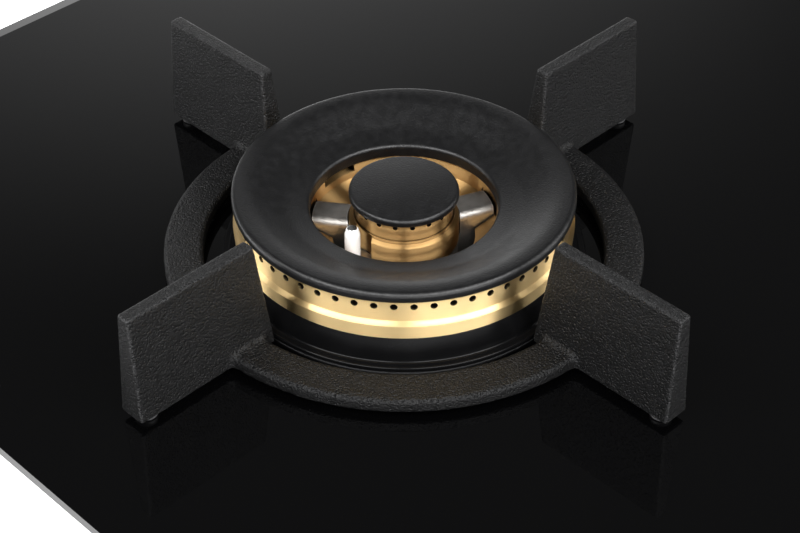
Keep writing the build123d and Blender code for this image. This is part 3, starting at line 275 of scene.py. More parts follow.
lines_group, lines_in, lines_out = shader_group(
    "turned_lines",
    (("Vector", VECTOR, None), ("Offset", FLOAT, BURNER_OFFSET), ("Fineness", FLOAT, 3000.0)),
    (("Height", FLOAT), ("Tone", FLOAT), ("Radius", FLOAT)),
)
parts_xyz = put(lines_group, "ShaderNodeSeparateXYZ", {0: lines_in.outputs["Vector"]})
side_x = maths(lines_group, "SUBTRACT", maths(lines_group, "ABSOLUTE", parts_xyz.outputs["X"]),
               lines_in.outputs["Offset"])
squares = maths(lines_group, "ADD", maths(lines_group, "MULTIPLY", side_x, side_x),
                maths(lines_group, "MULTIPLY", parts_xyz.outputs["Y"], parts_xyz.outputs["Y"]))
radius = maths(lines_group, "SQRT", squares)
along = maths(lines_group, "SUBTRACT", radius, parts_xyz.outputs["Z"])
cut = put(lines_group, "ShaderNodeTexNoise", {
    "W": maths(lines_group, "MULTIPLY", along, lines_in.outputs["Fineness"]),
    "Scale": 1.0, "Detail": 2.0}, noise_dimensions="1D")
bands = put(lines_group, "ShaderNodeTexNoise", {
    "W": maths(lines_group, "MULTIPLY", along, BAND_FINENESS),
    "Scale": 1.0, "Detail": 1.0}, noise_dimensions="1D")
lines_group.links.new(cut.outputs["Fac"], lines_out.inputs["Height"])
lines_group.links.new(bands.outputs["Fac"], lines_out.inputs["Tone"])
lines_group.links.new(radius, lines_out.inputs["Radius"])
print(lines_group.name, "has", len(lines_group.nodes), "nodes")

# %% [markdown]
# ## The finishes
# Every finish starts the same way: a Principled shader, the object's own coordinates, and
# the grain group for a bump and for small changes of colour and roughness. The special
# ones, such as glass, brass and iron, get more below.

# %% Base recipe
finishes = {}


def base_finish(name, colour, roughness, metallic=0.0, scale=400.0, pits=0.3, bump=0.05,
                depth=0.4 * MM, swell=1.0, tone=0.12, rough_spread=0.08, wear_and_highlight=0.0,
                wear_and_highlight_colour=None):
    """A material with grain, drifting tone and, where wear_and_highlight is above 0, lighter
    edges: worn, and on the iron also a painted highlight.

    It gives back the material, its tree, its shader and the object's coordinates."""
    material = bpy.data.materials.new(name)
    material.use_nodes = True
    tree = material.node_tree
    shader = tree.nodes["Principled BSDF"]
    where = put(tree, "ShaderNodeTexCoord").outputs["Object"]
    grain = place_group(tree, grain_group, {
        "Vector": where, "Scale": scale, "Pits": pits, "Swell": swell})
    dark = tuple(c * (1 - tone) for c in colour)
    light = tuple(min(1.0, c * (1 + tone)) for c in colour)
    shade = blend_colour(tree, grain.outputs["Tone"], dark, light)
    drift = maths(tree, "MULTIPLY", grain.outputs["Tone"], rough_spread)
    rough = maths(tree, "ADD", drift, roughness - rough_spread / 2)
    if wear_and_highlight > 0:
        # Lighter edges: wear, and on the iron also a painted highlight.
        worn_and_lit = place_group(tree, edge_wear_and_highlight_group, {"Vector": where})
        mask = maths(tree, "MULTIPLY", worn_and_lit.outputs["Mask"], wear_and_highlight)
        shade = blend_colour(tree, mask, shade, wear_and_highlight_colour)
    tree.links.new(shade, shader.inputs["Base Color"])
    tree.links.new(rough, shader.inputs["Roughness"])
    shader.inputs["Metallic"].default_value = metallic
    if bump > 0:
        relief = put(tree, "ShaderNodeBump", {
            "Strength": bump, "Distance": depth, "Height": grain.outputs["Height"]})
        tree.links.new(relief.outputs["Normal"], shader.inputs["Normal"])
    finishes[name] = material
    return material, tree, shader, where


print("base recipe ready")

# %% [markdown]
# ### Plain finishes
# Most small pieces need no more than the base recipe. Only the numbers differ: metals are
# fully metallic and take their colour from what they mirror, while rubber and plastic are
# dark and dull. The roughness of each was judged.

# %% Plain finishes
base_finish("foam", (0.028, 0.028, 0.030), 0.9, scale=900, pits=0.9, bump=0.4, tone=0.2)
base_finish("plated_steel", (0.66, 0.66, 0.67), 0.32, metallic=1.0, scale=250, bump=0.03,
            tone=0.06)
base_finish("stainless", (0.70, 0.70, 0.69), 0.24, metallic=1.0, scale=500, bump=0.03,
            tone=0.05)
base_finish("cast_aluminium", (0.30, 0.285, 0.265), 0.48, metallic=1.0, scale=700, pits=0.6,
            bump=0.25, wear_and_highlight=0.4, wear_and_highlight_colour=(0.6, 0.6, 0.58))
base_finish("silicone", (0.045, 0.045, 0.047), 0.55, scale=800, bump=0.08, tone=0.15)
base_finish("ceramic", (0.88, 0.875, 0.86), 0.22, scale=300, bump=0.02, tone=0.02)
base_finish("knob_black", (0.022, 0.022, 0.024), 0.42, scale=1800, bump=0.12,
            depth=0.2 * MM, tone=0.1, wear_and_highlight=0.5, wear_and_highlight_colour=(0.07, 0.07, 0.075))
base_finish("module_grey", (0.25, 0.26, 0.27), 0.5, scale=1500, bump=0.15, depth=0.2 * MM,
            tone=0.06)
base_finish("gland_black", (0.035, 0.035, 0.036), 0.45, scale=1500, bump=0.1,
            depth=0.2 * MM, tone=0.1)
base_finish("lead_red", (0.33, 0.045, 0.03), 0.45, scale=600, bump=0.05, tone=0.1)
base_finish("copper", (0.72, 0.38, 0.24), 0.3, metallic=1.0, scale=300, bump=0.03, tone=0.15)
print("plain finishes:", sorted(finishes))

# %% [markdown]
# ### Zinc-coated sheet
# The tray is pressed from zinc-coated steel. Zinc sets in flat crystals, so patches of a
# Voronoi texture differ a little in tone and gloss.

# %% Tray steel
CRYSTALS_PER_METRE = 95.0

_, tree, shader, where = base_finish(
    "tray_steel", (0.58, 0.60, 0.61), 0.42, metallic=1.0, scale=300, bump=0.04, tone=0.05)
crystals = put(tree, "ShaderNodeTexVoronoi", {
    "Vector": where, "Scale": CRYSTALS_PER_METRE, "Randomness": 1.0})
flake = put(tree, "ShaderNodeSeparateColor", {0: crystals.outputs["Color"]}).outputs[0]
shade = blend_colour(tree, flake, (0.36, 0.37, 0.38), (0.50, 0.51, 0.52))
tree.links.new(shade, shader.inputs["Base Color"])
tree.links.new(spread(tree, flake, 0.0, 1.0, 0.34, 0.52), shader.inputs["Roughness"])
print("tray steel ready")

# %% [markdown]
# ### Black glass
# The top is ground glass with a black layer below it. It is nearly a mirror, so its look is
# the room that it mirrors. A few faint smears and specks keep it from looking computed.

# %% Black glass
BODY_BLACK = (0.0007, 0.0007, 0.0008)
SPECK_GREY = (0.02, 0.02, 0.02)
GLASS_IOR = 1.5

material = bpy.data.materials.new("black_glass")
material.use_nodes = True
tree = material.node_tree
shader = tree.nodes["Principled BSDF"]
where = put(tree, "ShaderNodeTexCoord").outputs["Object"]
smear = put(tree, "ShaderNodeTexNoise", {
    "Vector": where, "Scale": 14.0, "Detail": 4.0, "Distortion": 0.6})
gloss = spread(tree, smear.outputs["Fac"], 0.35, 0.75, 0.02, 0.045)
speck_cells = put(tree, "ShaderNodeTexVoronoi", {"Vector": where, "Scale": 420.0})
speck = spread(tree, speck_cells.outputs["Distance"], 0.07, 0.03)
chosen = put(tree, "ShaderNodeSeparateColor", {0: speck_cells.outputs["Color"]}).outputs[0]
speck = maths(tree, "MULTIPLY", speck, spread(tree, chosen, 0.93, 0.97))
shade = blend_colour(tree, speck, BODY_BLACK, SPECK_GREY)
tree.links.new(shade, shader.inputs["Base Color"])
tree.links.new(gloss, shader.inputs["Roughness"])
shader.inputs["IOR"].default_value = GLASS_IOR
finishes["black_glass"] = material
print("black glass ready")

# %% [markdown]
# ### Turned brass
# The rings are cut on a lathe. Each groove runs round the axis, so a highlight is smeared
# across the grooves and stays narrow along them. That is anisotropy: the tangent runs round
# the axis, and a quarter turn of it points the smear across. Inside the ring, over the bowl
# under the caps, the colour turns a darker brown towards the axis.

# %% Brass
DARKEST_WITHIN = 46 * MM
BRIGHT_FROM = 54 * MM
BOWL_BROWN = (0.45, 0.27, 0.105)
# Colour of the painted shade inside ports and slots.
HOLE_SHADE_COLOUR = (0.008, 0.006, 0.004)

_, tree, shader, where = base_finish(
    "brass", (0.86, 0.635, 0.315), 0.26, metallic=1.0, scale=260, pits=0.0, bump=0.0,
    tone=0.06)
lines = place_group(tree, lines_group, {"Vector": where, "Fineness": 5200.0})
relief = put(tree, "ShaderNodeBump", {
    "Strength": 0.10, "Distance": 0.1 * MM, "Height": lines.outputs["Height"]})
gloss = spread(tree, lines.outputs["Tone"], 0.3, 0.7, 0.34, 0.43)
tree.links.new(relief.outputs["Normal"], shader.inputs["Normal"])
tree.links.new(gloss, shader.inputs["Roughness"])
round_axis = put(tree, "ShaderNodeTangent", direction_type="RADIAL", axis="Z")
tree.links.new(round_axis.outputs["Tangent"], shader.inputs["Tangent"])
shader.inputs["Anisotropic"].default_value = 1.0
shader.inputs["Anisotropic Rotation"].default_value = 0.25
shade = shader.inputs["Base Color"].links[0].from_socket
# Darker brown from 54 mm in to 46 mm from the burner's axis, over the bowl.
bowl_darkening = spread(tree, lines.outputs["Radius"], BRIGHT_FROM, DARKEST_WITHIN, 0.0, 0.9)
shade = blend_colour(tree, bowl_darkening, shade, BOWL_BROWN)
# Painted shade: ports and slots are darkened where the ambient occlusion mask finds them
# closed in.
hole_shading = place_group(tree, hole_shade_group, {"Reach": 4 * MM})
shade = blend_colour(tree, hole_shading.outputs["Mask"], shade, HOLE_SHADE_COLOUR)
tree.links.new(shade, shader.inputs["Base Color"])
print("brass ready")

# %% [markdown]
# ### Black enamel
# Caps and skirts are glazed with black enamel: a satin skin with the slight ripple of
# orange peel, so highlights are wide and a little uneven. The skirts get a darker, duller
# copy of it, a painted shade, because little light gets there.

# %% Enamel
_, _, cap_shader, _ = base_finish(
    "enamel", (0.0045, 0.0045, 0.0048), 0.36, scale=1300, pits=0.3, bump=0.35,
    depth=0.3 * MM, swell=0.2, tone=0.15, rough_spread=0.06)
cap_shader.inputs["Specular IOR Level"].default_value = 0.42
# Painted shade: a darker, less glossy copy of the enamel for the skirts under the brass ring.
_, _, skirt_shader, _ = base_finish(
    "enamel_skirt", (0.0030, 0.0030, 0.0032), 0.20, scale=500, pits=0.1, bump=0.03,
    depth=0.3 * MM, tone=0.1, rough_spread=0.04)
skirt_shader.inputs["Specular IOR Level"].default_value = 0.12
print("enamel ready")

# %% [markdown]
# ### Cast iron
# The pan supports are sand cast and coated matt black. The surface is rough at the size
# of sand grains, and paler on the edges: partly where pans have rubbed them, and partly a
# painted highlight for the light that the edges catch.

# %% Cast iron
# The pale edge colour is partly wear and partly a painted highlight along the fins' edges.
_, _, iron_shader, _ = base_finish(
    "iron", (0.0030, 0.0030, 0.0032), 0.38, scale=1150, pits=0.5, bump=1.0, depth=0.8 * MM,
    swell=0.1, tone=0.3, wear_and_highlight=0.8, wear_and_highlight_colour=(0.36, 0.36, 0.37))
iron_shader.inputs["Specular IOR Level"].default_value = 0.27
print("iron ready")

# %% [markdown]
# ## Finishes on the solids
# Each solid arrives with one material, named after its finish. It is exchanged for the one
# made above, and the solid's shape stays as it is. The skirts take their own enamel.

# %% Dress the solids
SKIRTS = tuple("burner_base_" + side for side in SIDES)

for solid in nodes.values():
    for slot in solid.material_slots:
        slot.material = finishes[slot.material.name.split(".")[0]]
# The skirts take the darker enamel, a painted shade.
for name in SKIRTS:
    nodes[name].material_slots[0].material = finishes["enamel_skirt"]
print("dressed", len(nodes), "solids")

# %% [markdown]
# ## Pan supports
# A casting has no sharp corner, and its skin is uneven. The solid is copied, its loose
# triangles are joined, and a voxel remesh gives it an even skin of small squares. A
# Shrinkwrap lays that skin back on the solid, so the tapered fins keep their lines. Then
# the edges are eased by one smoothing step, and noise moves each point a little.

# %% Piece helpers
JOIN_WITHIN = 1e-6


def joined_copy(name, source):
    """Copy of a solid with its loose triangles joined, as a new object."""
    mesh = bmesh.new()
    mesh.from_mesh(nodes[source].data)
    bmesh.ops.remove_doubles(mesh, verts=mesh.verts, dist=JOIN_WITHIN)
    data = bpy.data.meshes.new(name)
    mesh.to_mesh(data)
    mesh.free()
    made = bpy.data.objects.new(name, data)
    bpy.context.scene.collection.objects.link(made)
    return made


def baked(obj):
    """Turn an object and its modifiers into a plain mesh."""
    graph = bpy.context.evaluated_depsgraph_get()
    data = bpy.data.meshes.new_from_object(obj.evaluated_get(graph), depsgraph=graph)
    obj.modifiers.clear()
    obj.data = data


def finish_piece(obj, body, finish, *replaced):
    """Give a piece its finish, its body, and the solids that it stands for."""
    obj.data.materials.clear()
    obj.data.materials.append(finishes[finish])
    for face in obj.data.polygons:
        face.use_smooth = True
    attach(obj, body)
    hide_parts(*replaced)


print("piece helpers ready")

# %% Uneven skin
WIDE_NOISE = 420
FINE_NOISE = 900


def roughen(mesh, depth, low, high):
    """Move each point a little along its normal, by noise at two sizes, inside a box."""
    count = len(mesh.vertices)
    places = np.empty(count * 3, np.float32)
    normals = np.empty(count * 3, np.float32)
    mesh.vertices.foreach_get("co", places)
    mesh.vertex_normals.foreach_get("vector", normals)
    places = places.reshape(-1, 3)
    uneven = [noise.noise(Vector(p) * WIDE_NOISE) + 0.5 * noise.noise(Vector(p) * FINE_NOISE)
              for p in places]
    places += normals.reshape(-1, 3) * (np.array(uneven, np.float32) * depth)[:, None]
    mesh.vertices.foreach_set("co", np.clip(places, low, high).ravel())
    mesh.update()


print("noise waves per metre:", WIDE_NOISE, "and", FINE_NOISE)

# %% Pan supports
VOXEL = 0.80 * MM
SMOOTH_FACTOR = 0.5
SMOOTH_STEPS = 1
SKIN_DEPTH = 0.02 * MM

for side in SIDES:
    support = joined_copy("cast_support_" + side, "pan_support_" + side)
    remesh = support.modifiers.new("even skin", "REMESH")
    remesh.mode = "VOXEL"
    remesh.voxel_size = VOXEL
    snap = support.modifiers.new("back to the solid", "SHRINKWRAP")
    snap.target = nodes["pan_support_" + side]
    snap.wrap_method = "NEAREST_SURFACEPOINT"
    relax = support.modifiers.new("soften", "SMOOTH")
    relax.factor = SMOOTH_FACTOR
    relax.iterations = SMOOTH_STEPS
    baked(support)
    roughen(support.data, SKIN_DEPTH, *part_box("pan_support_" + side))
    finish_piece(support, "support_" + side, "iron", "pan_support_" + side)
    print(support.name, len(support.data.polygons), "faces")

# %% [markdown]
# ## Turned caps and knobs
# The caps and the knobs are bodies of revolution. One Geometry Nodes tree makes them all.
# It bends a grid round the axis: one side of the grid follows the profile, and the other
# side goes round. Ribs and lugs are inputs of the same tree, so a knob and a cap differ only
# in their numbers. This gives a far finer skin than the solid, with a smooth highlight.
#
# A profile is a short list of corners. Pressed and cast metal has no sharp corners, so the
# first helper swaps some corners for arcs before the tree sees them.

# %% Profiles
ARC_STEP = math.radians(7.5)
FEWEST_STEPS = 3


def eased(points, rounds, closed):
    """Profile with some corners rounded. rounds gives a radius for a corner's number."""
    made = []
    for i, point in enumerate(points):
        radius = rounds.get(i)
        if radius is None:
            made.append(point)
            continue
        here = Vector(point)
        before = (Vector(points[i - 1]) - here).normalized()
        after = (Vector(points[(i + 1) % len(points)]) - here).normalized()
        half_turn = before.angle(after) / 2
        centre = here + (before + after).normalized() * (radius / math.sin(half_turn))
        start = here + before * (radius / math.tan(half_turn)) - centre
        end = here + after * (radius / math.tan(half_turn)) - centre
        sweep = start.angle_signed(end)
        steps = max(FEWEST_STEPS, math.ceil(abs(sweep) / ARC_STEP))
        for step in range(steps + 1):
            turn = -sweep * step / steps
            x = start.x * math.cos(turn) - start.y * math.sin(turn)
            y = start.x * math.sin(turn) + start.y * math.cos(turn)
            made.append((centre.x + x, centre.y + y))
    area = sum(a[0] * b[1] - b[0] * a[1] for a, b in zip(made, made[1:] + made[:1]))
    return made if area > 0 else made[::-1]


print("arc steps of", round(math.degrees(ARC_STEP), 1), "degrees")

# %% [markdown]
# The tree starts with named inputs: the profile, how many segments go round, and the sizes
# of ribs and lugs. Its grid is one unit per segment and per profile point, so a grid point's
# place tells at once which share of the turn and which profile point it belongs to.

# %% Tree: inputs
def tree_sockets(name, inputs):
    """Empty Geometry Nodes tree with named inputs, and its input and output nodes."""
    tree = bpy.data.node_groups.new(name, "GeometryNodeTree")
    for label, kind, value in inputs:
        socket = tree.interface.new_socket(label, in_out="INPUT", socket_type=kind)
        if value is not None:
            socket.default_value = value
    tree.interface.new_socket("Geometry", in_out="OUTPUT", socket_type="NodeSocketGeometry")
    return tree, tree.nodes.new("NodeGroupInput"), tree.nodes.new("NodeGroupOutput")


WHOLE = "NodeSocketInt"
turned_tree, given, result = tree_sockets("turned_body", (
    ("Profile", "NodeSocketGeometry", None), ("Points", WHOLE, 8), ("Closed", WHOLE, 1),
    ("Segments", WHOLE, 256), ("Ribs", WHOLE, 0), ("Rib Depth", FLOAT, 0.0),
    ("Rib Inside", FLOAT, 1.0), ("Rib Fade", FLOAT, 1 * MM), ("Lugs", WHOLE, 0),
    ("Lug Size", VECTOR, None), ("Lug Radius", FLOAT, 0.0), ("Lug Level", FLOAT, 0.0),
    ("Lug Turn", FLOAT, 0.0), ("Place", VECTOR, None), ("Finish", "NodeSocketMaterial", None),
))
tree, asked = turned_tree, given.outputs
print(tree.name, "has", len(asked) - 1, "inputs")

# %% Tree: grid and profile
rows = maths(tree, "ADD", maths(tree, "SUBTRACT", asked["Points"], 1.0), asked["Closed"])
grid = put(tree, "GeometryNodeMeshGrid", {
    "Size X": asked["Segments"], "Size Y": rows,
    "Vertices X": maths(tree, "ADD", asked["Segments"], 1.0),
    "Vertices Y": maths(tree, "ADD", rows, 1.0)})
here = put(tree, "GeometryNodeInputPosition").outputs[0]
at = put(tree, "ShaderNodeSeparateXYZ", {0: here})
share = maths(tree, "ADD", maths(tree, "DIVIDE", at.outputs["X"], asked["Segments"]), 0.5)
angle = maths(tree, "MULTIPLY", share, math.tau)
row = maths(tree, "ADD", at.outputs["Y"], maths(tree, "MULTIPLY", rows, 0.5))
row = maths(tree, "MODULO", maths(tree, "ROUND", row), asked["Points"])
point = put(tree, "GeometryNodeSampleIndex", {
    "Geometry": asked["Profile"], "Index": row}, data_type="FLOAT_VECTOR")
tree.links.new(here, point.inputs["Value"])
where_on = put(tree, "ShaderNodeSeparateXYZ", {0: point.outputs["Value"]})
print(tree.name, "has", len(tree.nodes), "nodes with its grid")

# %% [markdown]
# Ribs are cut inwards by a cosine wave round the axis, so a knob never grows past its solid.
# They fade in over a short way, and only outside a given radius, so the top stays smooth.
# Then each grid point moves to its place, and the seam and the poles are merged.

# %% Tree: ribs
POLE_GAP = 0.01 * MM
wave = maths(tree, "COSINE", maths(tree, "MULTIPLY", angle, asked["Ribs"]))
ribbing = maths(tree, "SUBTRACT", 0.5, maths(tree, "MULTIPLY", wave, 0.5))
outside = maths(tree, "SUBTRACT", where_on.outputs["X"], asked["Rib Inside"])
outside = put(tree, "ShaderNodeClamp", {
    0: maths(tree, "DIVIDE", outside, asked["Rib Fade"])}).outputs[0]
cut_in = maths(tree, "MULTIPLY", maths(tree, "MULTIPLY", ribbing, outside), asked["Rib Depth"])
reach = maths(tree, "SUBTRACT", where_on.outputs["X"], cut_in)
bent = put(tree, "ShaderNodeCombineXYZ", {
    "X": maths(tree, "MULTIPLY", reach, maths(tree, "COSINE", angle)),
    "Y": maths(tree, "MULTIPLY", reach, maths(tree, "SINE", angle)),
    "Z": where_on.outputs["Z"]})
skin = put(tree, "GeometryNodeSetPosition", {
    "Geometry": grid.outputs["Mesh"], "Position": bent.outputs[0]}).outputs[0]
skin = put(tree, "GeometryNodeMergeByDistance", {
    "Geometry": skin, "Distance": POLE_GAP}).outputs[0]
print(tree.name, "has", len(tree.nodes), "nodes with its ribs")

# %% [markdown]
# Lugs are small blocks on a circle: the feet that centre a cap, or the pointer of a knob.
# They are instances on points, and the tree ends by making them real, because the export
# drops instances.

# %% Tree: lugs
lug_number = put(tree, "GeometryNodeInputIndex").outputs[0]
lug_share = maths(tree, "DIVIDE", lug_number, asked["Lugs"])
lug_angle = maths(tree, "ADD", maths(tree, "MULTIPLY", lug_share, math.tau), asked["Lug Turn"])
lug_place = put(tree, "ShaderNodeCombineXYZ", {
    "X": maths(tree, "MULTIPLY", asked["Lug Radius"], maths(tree, "COSINE", lug_angle)),
    "Y": maths(tree, "MULTIPLY", asked["Lug Radius"], maths(tree, "SINE", lug_angle)),
    "Z": asked["Lug Level"]})
spots = put(tree, "GeometryNodePoints", {
    "Count": asked["Lugs"], "Position": lug_place.outputs[0]})
one_lug = put(tree, "GeometryNodeMeshCube", {"Size": asked["Lug Size"]})
lug_rotation = put(tree, "ShaderNodeCombineXYZ", {"Z": lug_angle})
lugs = put(tree, "GeometryNodeInstanceOnPoints", {
    "Points": spots.outputs[0], "Instance": one_lug.outputs["Mesh"],
    "Rotation": lug_rotation.outputs[0]})
joined = put(tree, "GeometryNodeJoinGeometry")
tree.links.new(skin, joined.inputs[0])
tree.links.new(lugs.outputs[0], joined.inputs[0])
placed = put(tree, "GeometryNodeTransform", {
    "Geometry": joined.outputs[0], "Translation": asked["Place"]}).outputs[0]
real = put(tree, "GeometryNodeRealizeInstances", {0: placed}).outputs[0]
painted = put(tree, "GeometryNodeSetMaterial", {
    "Geometry": real, "Material": asked["Finish"]})
tree.links.new(painted.outputs[0], result.inputs[0])
print(tree.name, "has", len(tree.nodes), "nodes in all")

# %% [markdown]
# The modifier's inputs are set by each socket's identifier, and then the result is turned
# into a plain mesh. Edges sharper than a limit stay crisp, and all others are shaded smooth.

# %% Turned piece helper
SHARP_EDGE = math.radians(32.0)


def turned_piece(name, solid, body, finish, points, rounds, closed, **sizes):
    """A turned piece in place of a solid. points are (radius, height above glass) in mm."""
    profile = eased(points, rounds, closed)
    outline = bpy.data.meshes.new(name + "_profile")
    outline.from_pydata([(r * MM, 0, z * MM) for r, z in profile], [], [])
    made = bpy.data.objects.new(name, outline)
    bpy.context.scene.collection.objects.link(made)
    x, y = middle(solid)
    values = {"Points": len(profile), "Closed": int(closed), "Place": (x, y, GLASS_TOP),
              "Finish": finishes[finish], **sizes}
    turning = made.modifiers.new("turned", "NODES")
    turning.node_group = turned_tree
    for item in turned_tree.interface.items_tree:
        if item.item_type == "SOCKET" and item.in_out == "INPUT" and item.name in values:
            turning[item.identifier] = values[item.name]
    baked(made)
    finish_piece(made, body, finish, solid)
    made.data.set_sharp_from_angle(angle=SHARP_EDGE)
    print(name, len(made.data.polygons), "faces")


print("turned pieces are crisp above", round(math.degrees(SHARP_EDGE)), "degrees")

# %% [markdown]
# The outer cap is a ring with a dished top and a thick, rounded rim. The inner cap is a low
# dome. The knob is a hollow cup on a stem, with finger ribs and a pointer. All sizes are
# those of the solids, in millimetres, and the ribs are the only addition.

# %% Caps and knobs
RING_CAP = ((37.1, 25.8), (37.1, 20.5), (42.2, 20.5), (61.0, 30.0), (67.5, 30.0),
            (67.5, 34.5), (60.5, 34.5), (46.1, 27.6))
RING_CAP_ROUNDS = {0: 1.8, 1: 0.6, 4: 1.4, 5: 2.0, 6: 18.0, 7: 20.0}
DOME_STEPS = 12
INNER_CAP_RADIUS = 21.7
INNER_CAP_RIM = 32.3
INNER_CAP_RISE = 1.2
INNER_CAP_UNDER = 29.3
INNER_CAP = [(INNER_CAP_RADIUS * i / DOME_STEPS,
              INNER_CAP_RIM + INNER_CAP_RISE * (1 - (i / DOME_STEPS) ** 2))
             for i in range(DOME_STEPS)]
INNER_CAP += [(INNER_CAP_RADIUS, INNER_CAP_RIM), (INNER_CAP_RADIUS, INNER_CAP_UNDER),
              (0.0, INNER_CAP_UNDER)]
INNER_CAP_ROUNDS = {DOME_STEPS: 1.5, DOME_STEPS + 1: 0.6}
STEM_TOP = 72.2 - GLASS_TOP / MM
KNOB = ((0.0, 24.6), (19.6, 24.6), (21.0, 4.6), (18.8, 4.6), (17.4, 22.4), (6.0, 22.4),
        (6.0, 5.6), (3.05, 5.6), (3.05, STEM_TOP), (0.0, STEM_TOP))
KNOB_ROUNDS = {1: 1.6, 2: 0.6, 4: 1.0}

for side in SIDES:
    turned_piece("turned_ring_cap_" + side, "ring_cap_" + side, "ring_cover_" + side,
                 "enamel", RING_CAP, RING_CAP_ROUNDS, True, **{
                     "Lugs": 4, "Lug Size": (3.5 * MM, 3.2 * MM, 7.0 * MM),
                     "Lug Radius": 59.95 * MM, "Lug Level": 27.5 * MM})
    turned_piece("turned_inner_cap_" + side, "inner_cap_" + side, "crown_cover_" + side,
                 "enamel", INNER_CAP, INNER_CAP_ROUNDS, False, **{
                     "Segments": 160, "Lugs": 3, "Lug Size": (2.0 * MM, 2.8 * MM, 5.0 * MM),
                     "Lug Radius": 15.1 * MM, "Lug Level": 27.8 * MM,
                     "Lug Turn": math.radians(45)})
    turned_piece("ribbed_knob_" + side, "knob_" + side, "control_" + side, "knob_black",
                 KNOB, KNOB_ROUNDS, False, **{
                     "Segments": 360, "Ribs": 36, "Rib Depth": 0.5 * MM,
                     "Rib Inside": 19.3 * MM, "Rib Fade": 0.7 * MM, "Lugs": 1,
                     "Lug Size": (13.0 * MM, 1.8 * MM, 1.6 * MM), "Lug Radius": 11.3 * MM,
                     "Lug Level": 24.4 * MM, "Lug Turn": math.radians(90)})

# %% [markdown]
# ## Floor, room and light
# The cooktop stands in a pale room. The floor is white, and a part of its brightness is
# seen only by the camera and in mirrors, so the background is white without throwing more
# light on the cooktop. The rest of the floor takes the shadow. From below the floor is
# clear, so the underside of the tray can be looked at.

# %% Floor
FLOOR_SIZE = 6.0
FLOOR_DROP = 0.2 * MM
FLOOR_SHADE = (0.72, 0.72, 0.72, 1)
FLOOR_GLOW = 0.72

floor_mesh = bpy.data.meshes.new("floor")
half = FLOOR_SIZE / 2
corners = [(-half, -half, 0), (half, -half, 0), (half, half, 0), (-half, half, 0)]
floor_mesh.from_pydata(corners, [], [(0, 1, 2, 3)])
floor = bpy.data.objects.new("floor", floor_mesh)
bpy.context.scene.collection.objects.link(floor)
floor.location.z = -FLOOR_DROP
floor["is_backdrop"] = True
print("floor of", FLOOR_SIZE, "m")

# %% Floor material
material = bpy.data.materials.new("floor_white")
material.use_nodes = True
tree = material.node_tree
shader = tree.nodes["Principled BSDF"]
shader.inputs["Base Color"].default_value = FLOOR_SHADE
shader.inputs["Roughness"].default_value = 0.9
shader.inputs["Specular IOR Level"].default_value = 0.0
rays = put(tree, "ShaderNodeLightPath")
mirrored = maths(tree, "MAXIMUM", rays.outputs["Is Glossy Ray"],
                 rays.outputs["Is Transmission Ray"])
seen = maths(tree, "MAXIMUM", rays.outputs["Is Camera Ray"], mirrored)
glow = put(tree, "ShaderNodeEmission", {
    "Color": (1, 1, 1, 1), "Strength": maths(tree, "MULTIPLY", seen, FLOOR_GLOW)})
both = put(tree, "ShaderNodeAddShader", {
    0: shader.outputs["BSDF"], 1: glow.outputs["Emission"]})
below = put(tree, "ShaderNodeNewGeometry").outputs["Backfacing"]
clear = put(tree, "ShaderNodeBsdfTransparent")
sheet = put(tree, "ShaderNodeMixShader", {
    0: below, 1: both.outputs[0], 2: clear.outputs["BSDF"]})
tree.links.new(sheet.outputs[0], tree.nodes["Material Output"].inputs["Surface"])
floor_mesh.materials.append(material)
print("floor material has", len(tree.nodes), "nodes")

# %% [markdown]
# The light comes from large soft windows round the cooktop. They are made in the world's
# own nodes: a group turns a direction into its height and its angle to a window, and fades
# the window's edges. Large sources keep the highlights on black glass and enamel soft.

# %% Group: light window
window_group, window_in, window_out = shader_group(
    "light_window",
    (("Facing", VECTOR, None), ("Half Width", FLOAT, 0.5), ("Low", FLOAT, 0.0),
     ("High", FLOAT, 0.6), ("Soft", FLOAT, 0.15), ("Strength", FLOAT, 1.0)),
    (("Light", FLOAT),),
)
direction = put(window_group, "ShaderNodeTexCoord").outputs["Generated"]
upright = put(window_group, "ShaderNodeSeparateXYZ", {0: direction}).outputs["Z"]
elevation = maths(window_group, "ARCSINE", upright)
level = put(window_group, "ShaderNodeVectorMath",
            {0: direction, 1: (1, 1, 0)}, operation="MULTIPLY")
level = put(window_group, "ShaderNodeVectorMath", {0: level.outputs[0]}, operation="NORMALIZE")
facing = put(window_group, "ShaderNodeVectorMath",
             {0: level.outputs[0], 1: window_in.outputs["Facing"]}, operation="DOT_PRODUCT")
likeness = maths(window_group, "MINIMUM", facing.outputs["Value"], 1.0)
sideways = maths(window_group, "ARCCOSINE", likeness)
soft = window_in.outputs["Soft"]


def fade(value, limit, sign):
    """1 inside a limit and 0 outside it, with a soft edge."""
    gap = maths(window_group, "MULTIPLY", maths(window_group, "SUBTRACT", limit, value), sign)
    share = maths(window_group, "DIVIDE", gap, soft)
    return spread(window_group, maths(window_group, "ADD", share, 0.5), 0.0, 1.0)


inside = fade(sideways, window_in.outputs["Half Width"], 1.0)
for limit, sign in (("High", 1.0), ("Low", -1.0)):
    one_edge = fade(elevation, window_in.outputs[limit], sign)
    inside = maths(window_group, "MULTIPLY", inside, one_edge)
light = maths(window_group, "MULTIPLY", inside, window_in.outputs["Strength"])
window_group.links.new(light, window_out.inputs["Light"])
print(window_group.name, "has", len(window_group.nodes), "nodes")

# %% [markdown]
# Each window has its own work to do. The low ones in front make the bright bands on the
# brass, with dark gaps between them. The high ones light the rims of the caps and the edges
# of the fins, and the far one is what the glass mirrors at the back. A little light from all
# sides stands for the rest of the room.

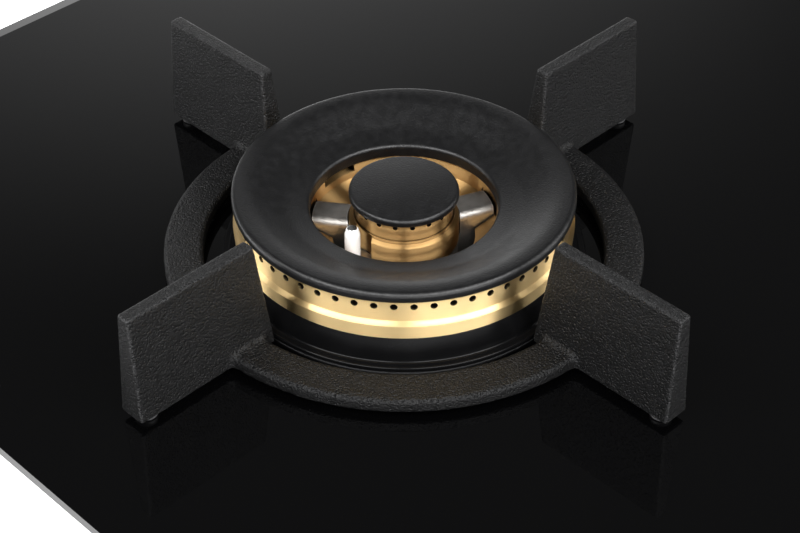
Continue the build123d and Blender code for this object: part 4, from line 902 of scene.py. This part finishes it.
# %% World
# Each row: name, angle from the camera's side to the right, half width, low edge, high edge
# and softness, all in degrees, and then the strength.
VIEW_AZIMUTH = 225.0
WINDOWS = (
    ("front right", 32.0, 34.0, -6.0, 16.0, 4.0, 4.0),
    ("front left", -25.0, 26.0, -6.0, 7.0, 4.0, 2.1),
    ("front raised", 36.0, 44.0, 16.0, 34.0, 10.0, 1.2),
    ("high right", 46.0, 40.0, 35.0, 55.0, 4.0, 11.0),
    ("high left", -48.0, 41.0, 35.0, 55.0, 4.0, 11.0),
    ("front top", 12.0, 62.0, 60.0, 74.0, 8.0, 0.8),
    ("left", -100.0, 9.0, -6.0, 16.0, 4.0, 9.0),
    ("far left", -150.0, 34.0, -6.0, 13.0, 18.0, 0.6),
    ("far", -174.0, 12.0, -8.0, 28.0, 26.0, 1.5),
    ("back right", 103.0, 7.0, -6.0, 32.0, 4.0, 5.5),
    ("overhead", 0.0, 200.0, 76.0, 100.0, 10.0, 0.1),
)
ROOM = 0.08

world = bpy.data.worlds.new("room")
world.use_nodes = True
bpy.context.scene.world = world
tree = world.node_tree
total = None
for name, azimuth, half_width, low, high, softness, strength in WINDOWS:
    turn = math.radians(VIEW_AZIMUTH + azimuth)
    light = place_group(tree, window_group, {
        "Facing": (math.cos(turn), math.sin(turn), 0.0),
        "Half Width": math.radians(half_width), "Low": math.radians(low),
        "High": math.radians(high), "Soft": math.radians(softness), "Strength": strength})
    light.label = name
    light = light.outputs["Light"]
    total = light if total is None else maths(tree, "ADD", total, light)
total = maths(tree, "ADD", total, ROOM)
camera_ray = put(tree, "ShaderNodeLightPath").outputs["Is Camera Ray"]
brightness = put(tree, "ShaderNodeMix", {0: camera_ray, 2: total, 3: 1.0}).outputs[0]
background = tree.nodes["Background"]
background.inputs["Color"].default_value = (1, 1, 1, 1)
tree.links.new(brightness, background.inputs["Strength"])
bpy.context.scene.view_settings.view_transform = "Standard"
print("windows:", len(WINDOWS))

# %% [markdown]
# ## What is shown
# The box of what is shown is printed.

# %% Finish
low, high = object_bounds()
print("shown from", [round(v, 4) for v in low], "to", [round(v, 4) for v in high])
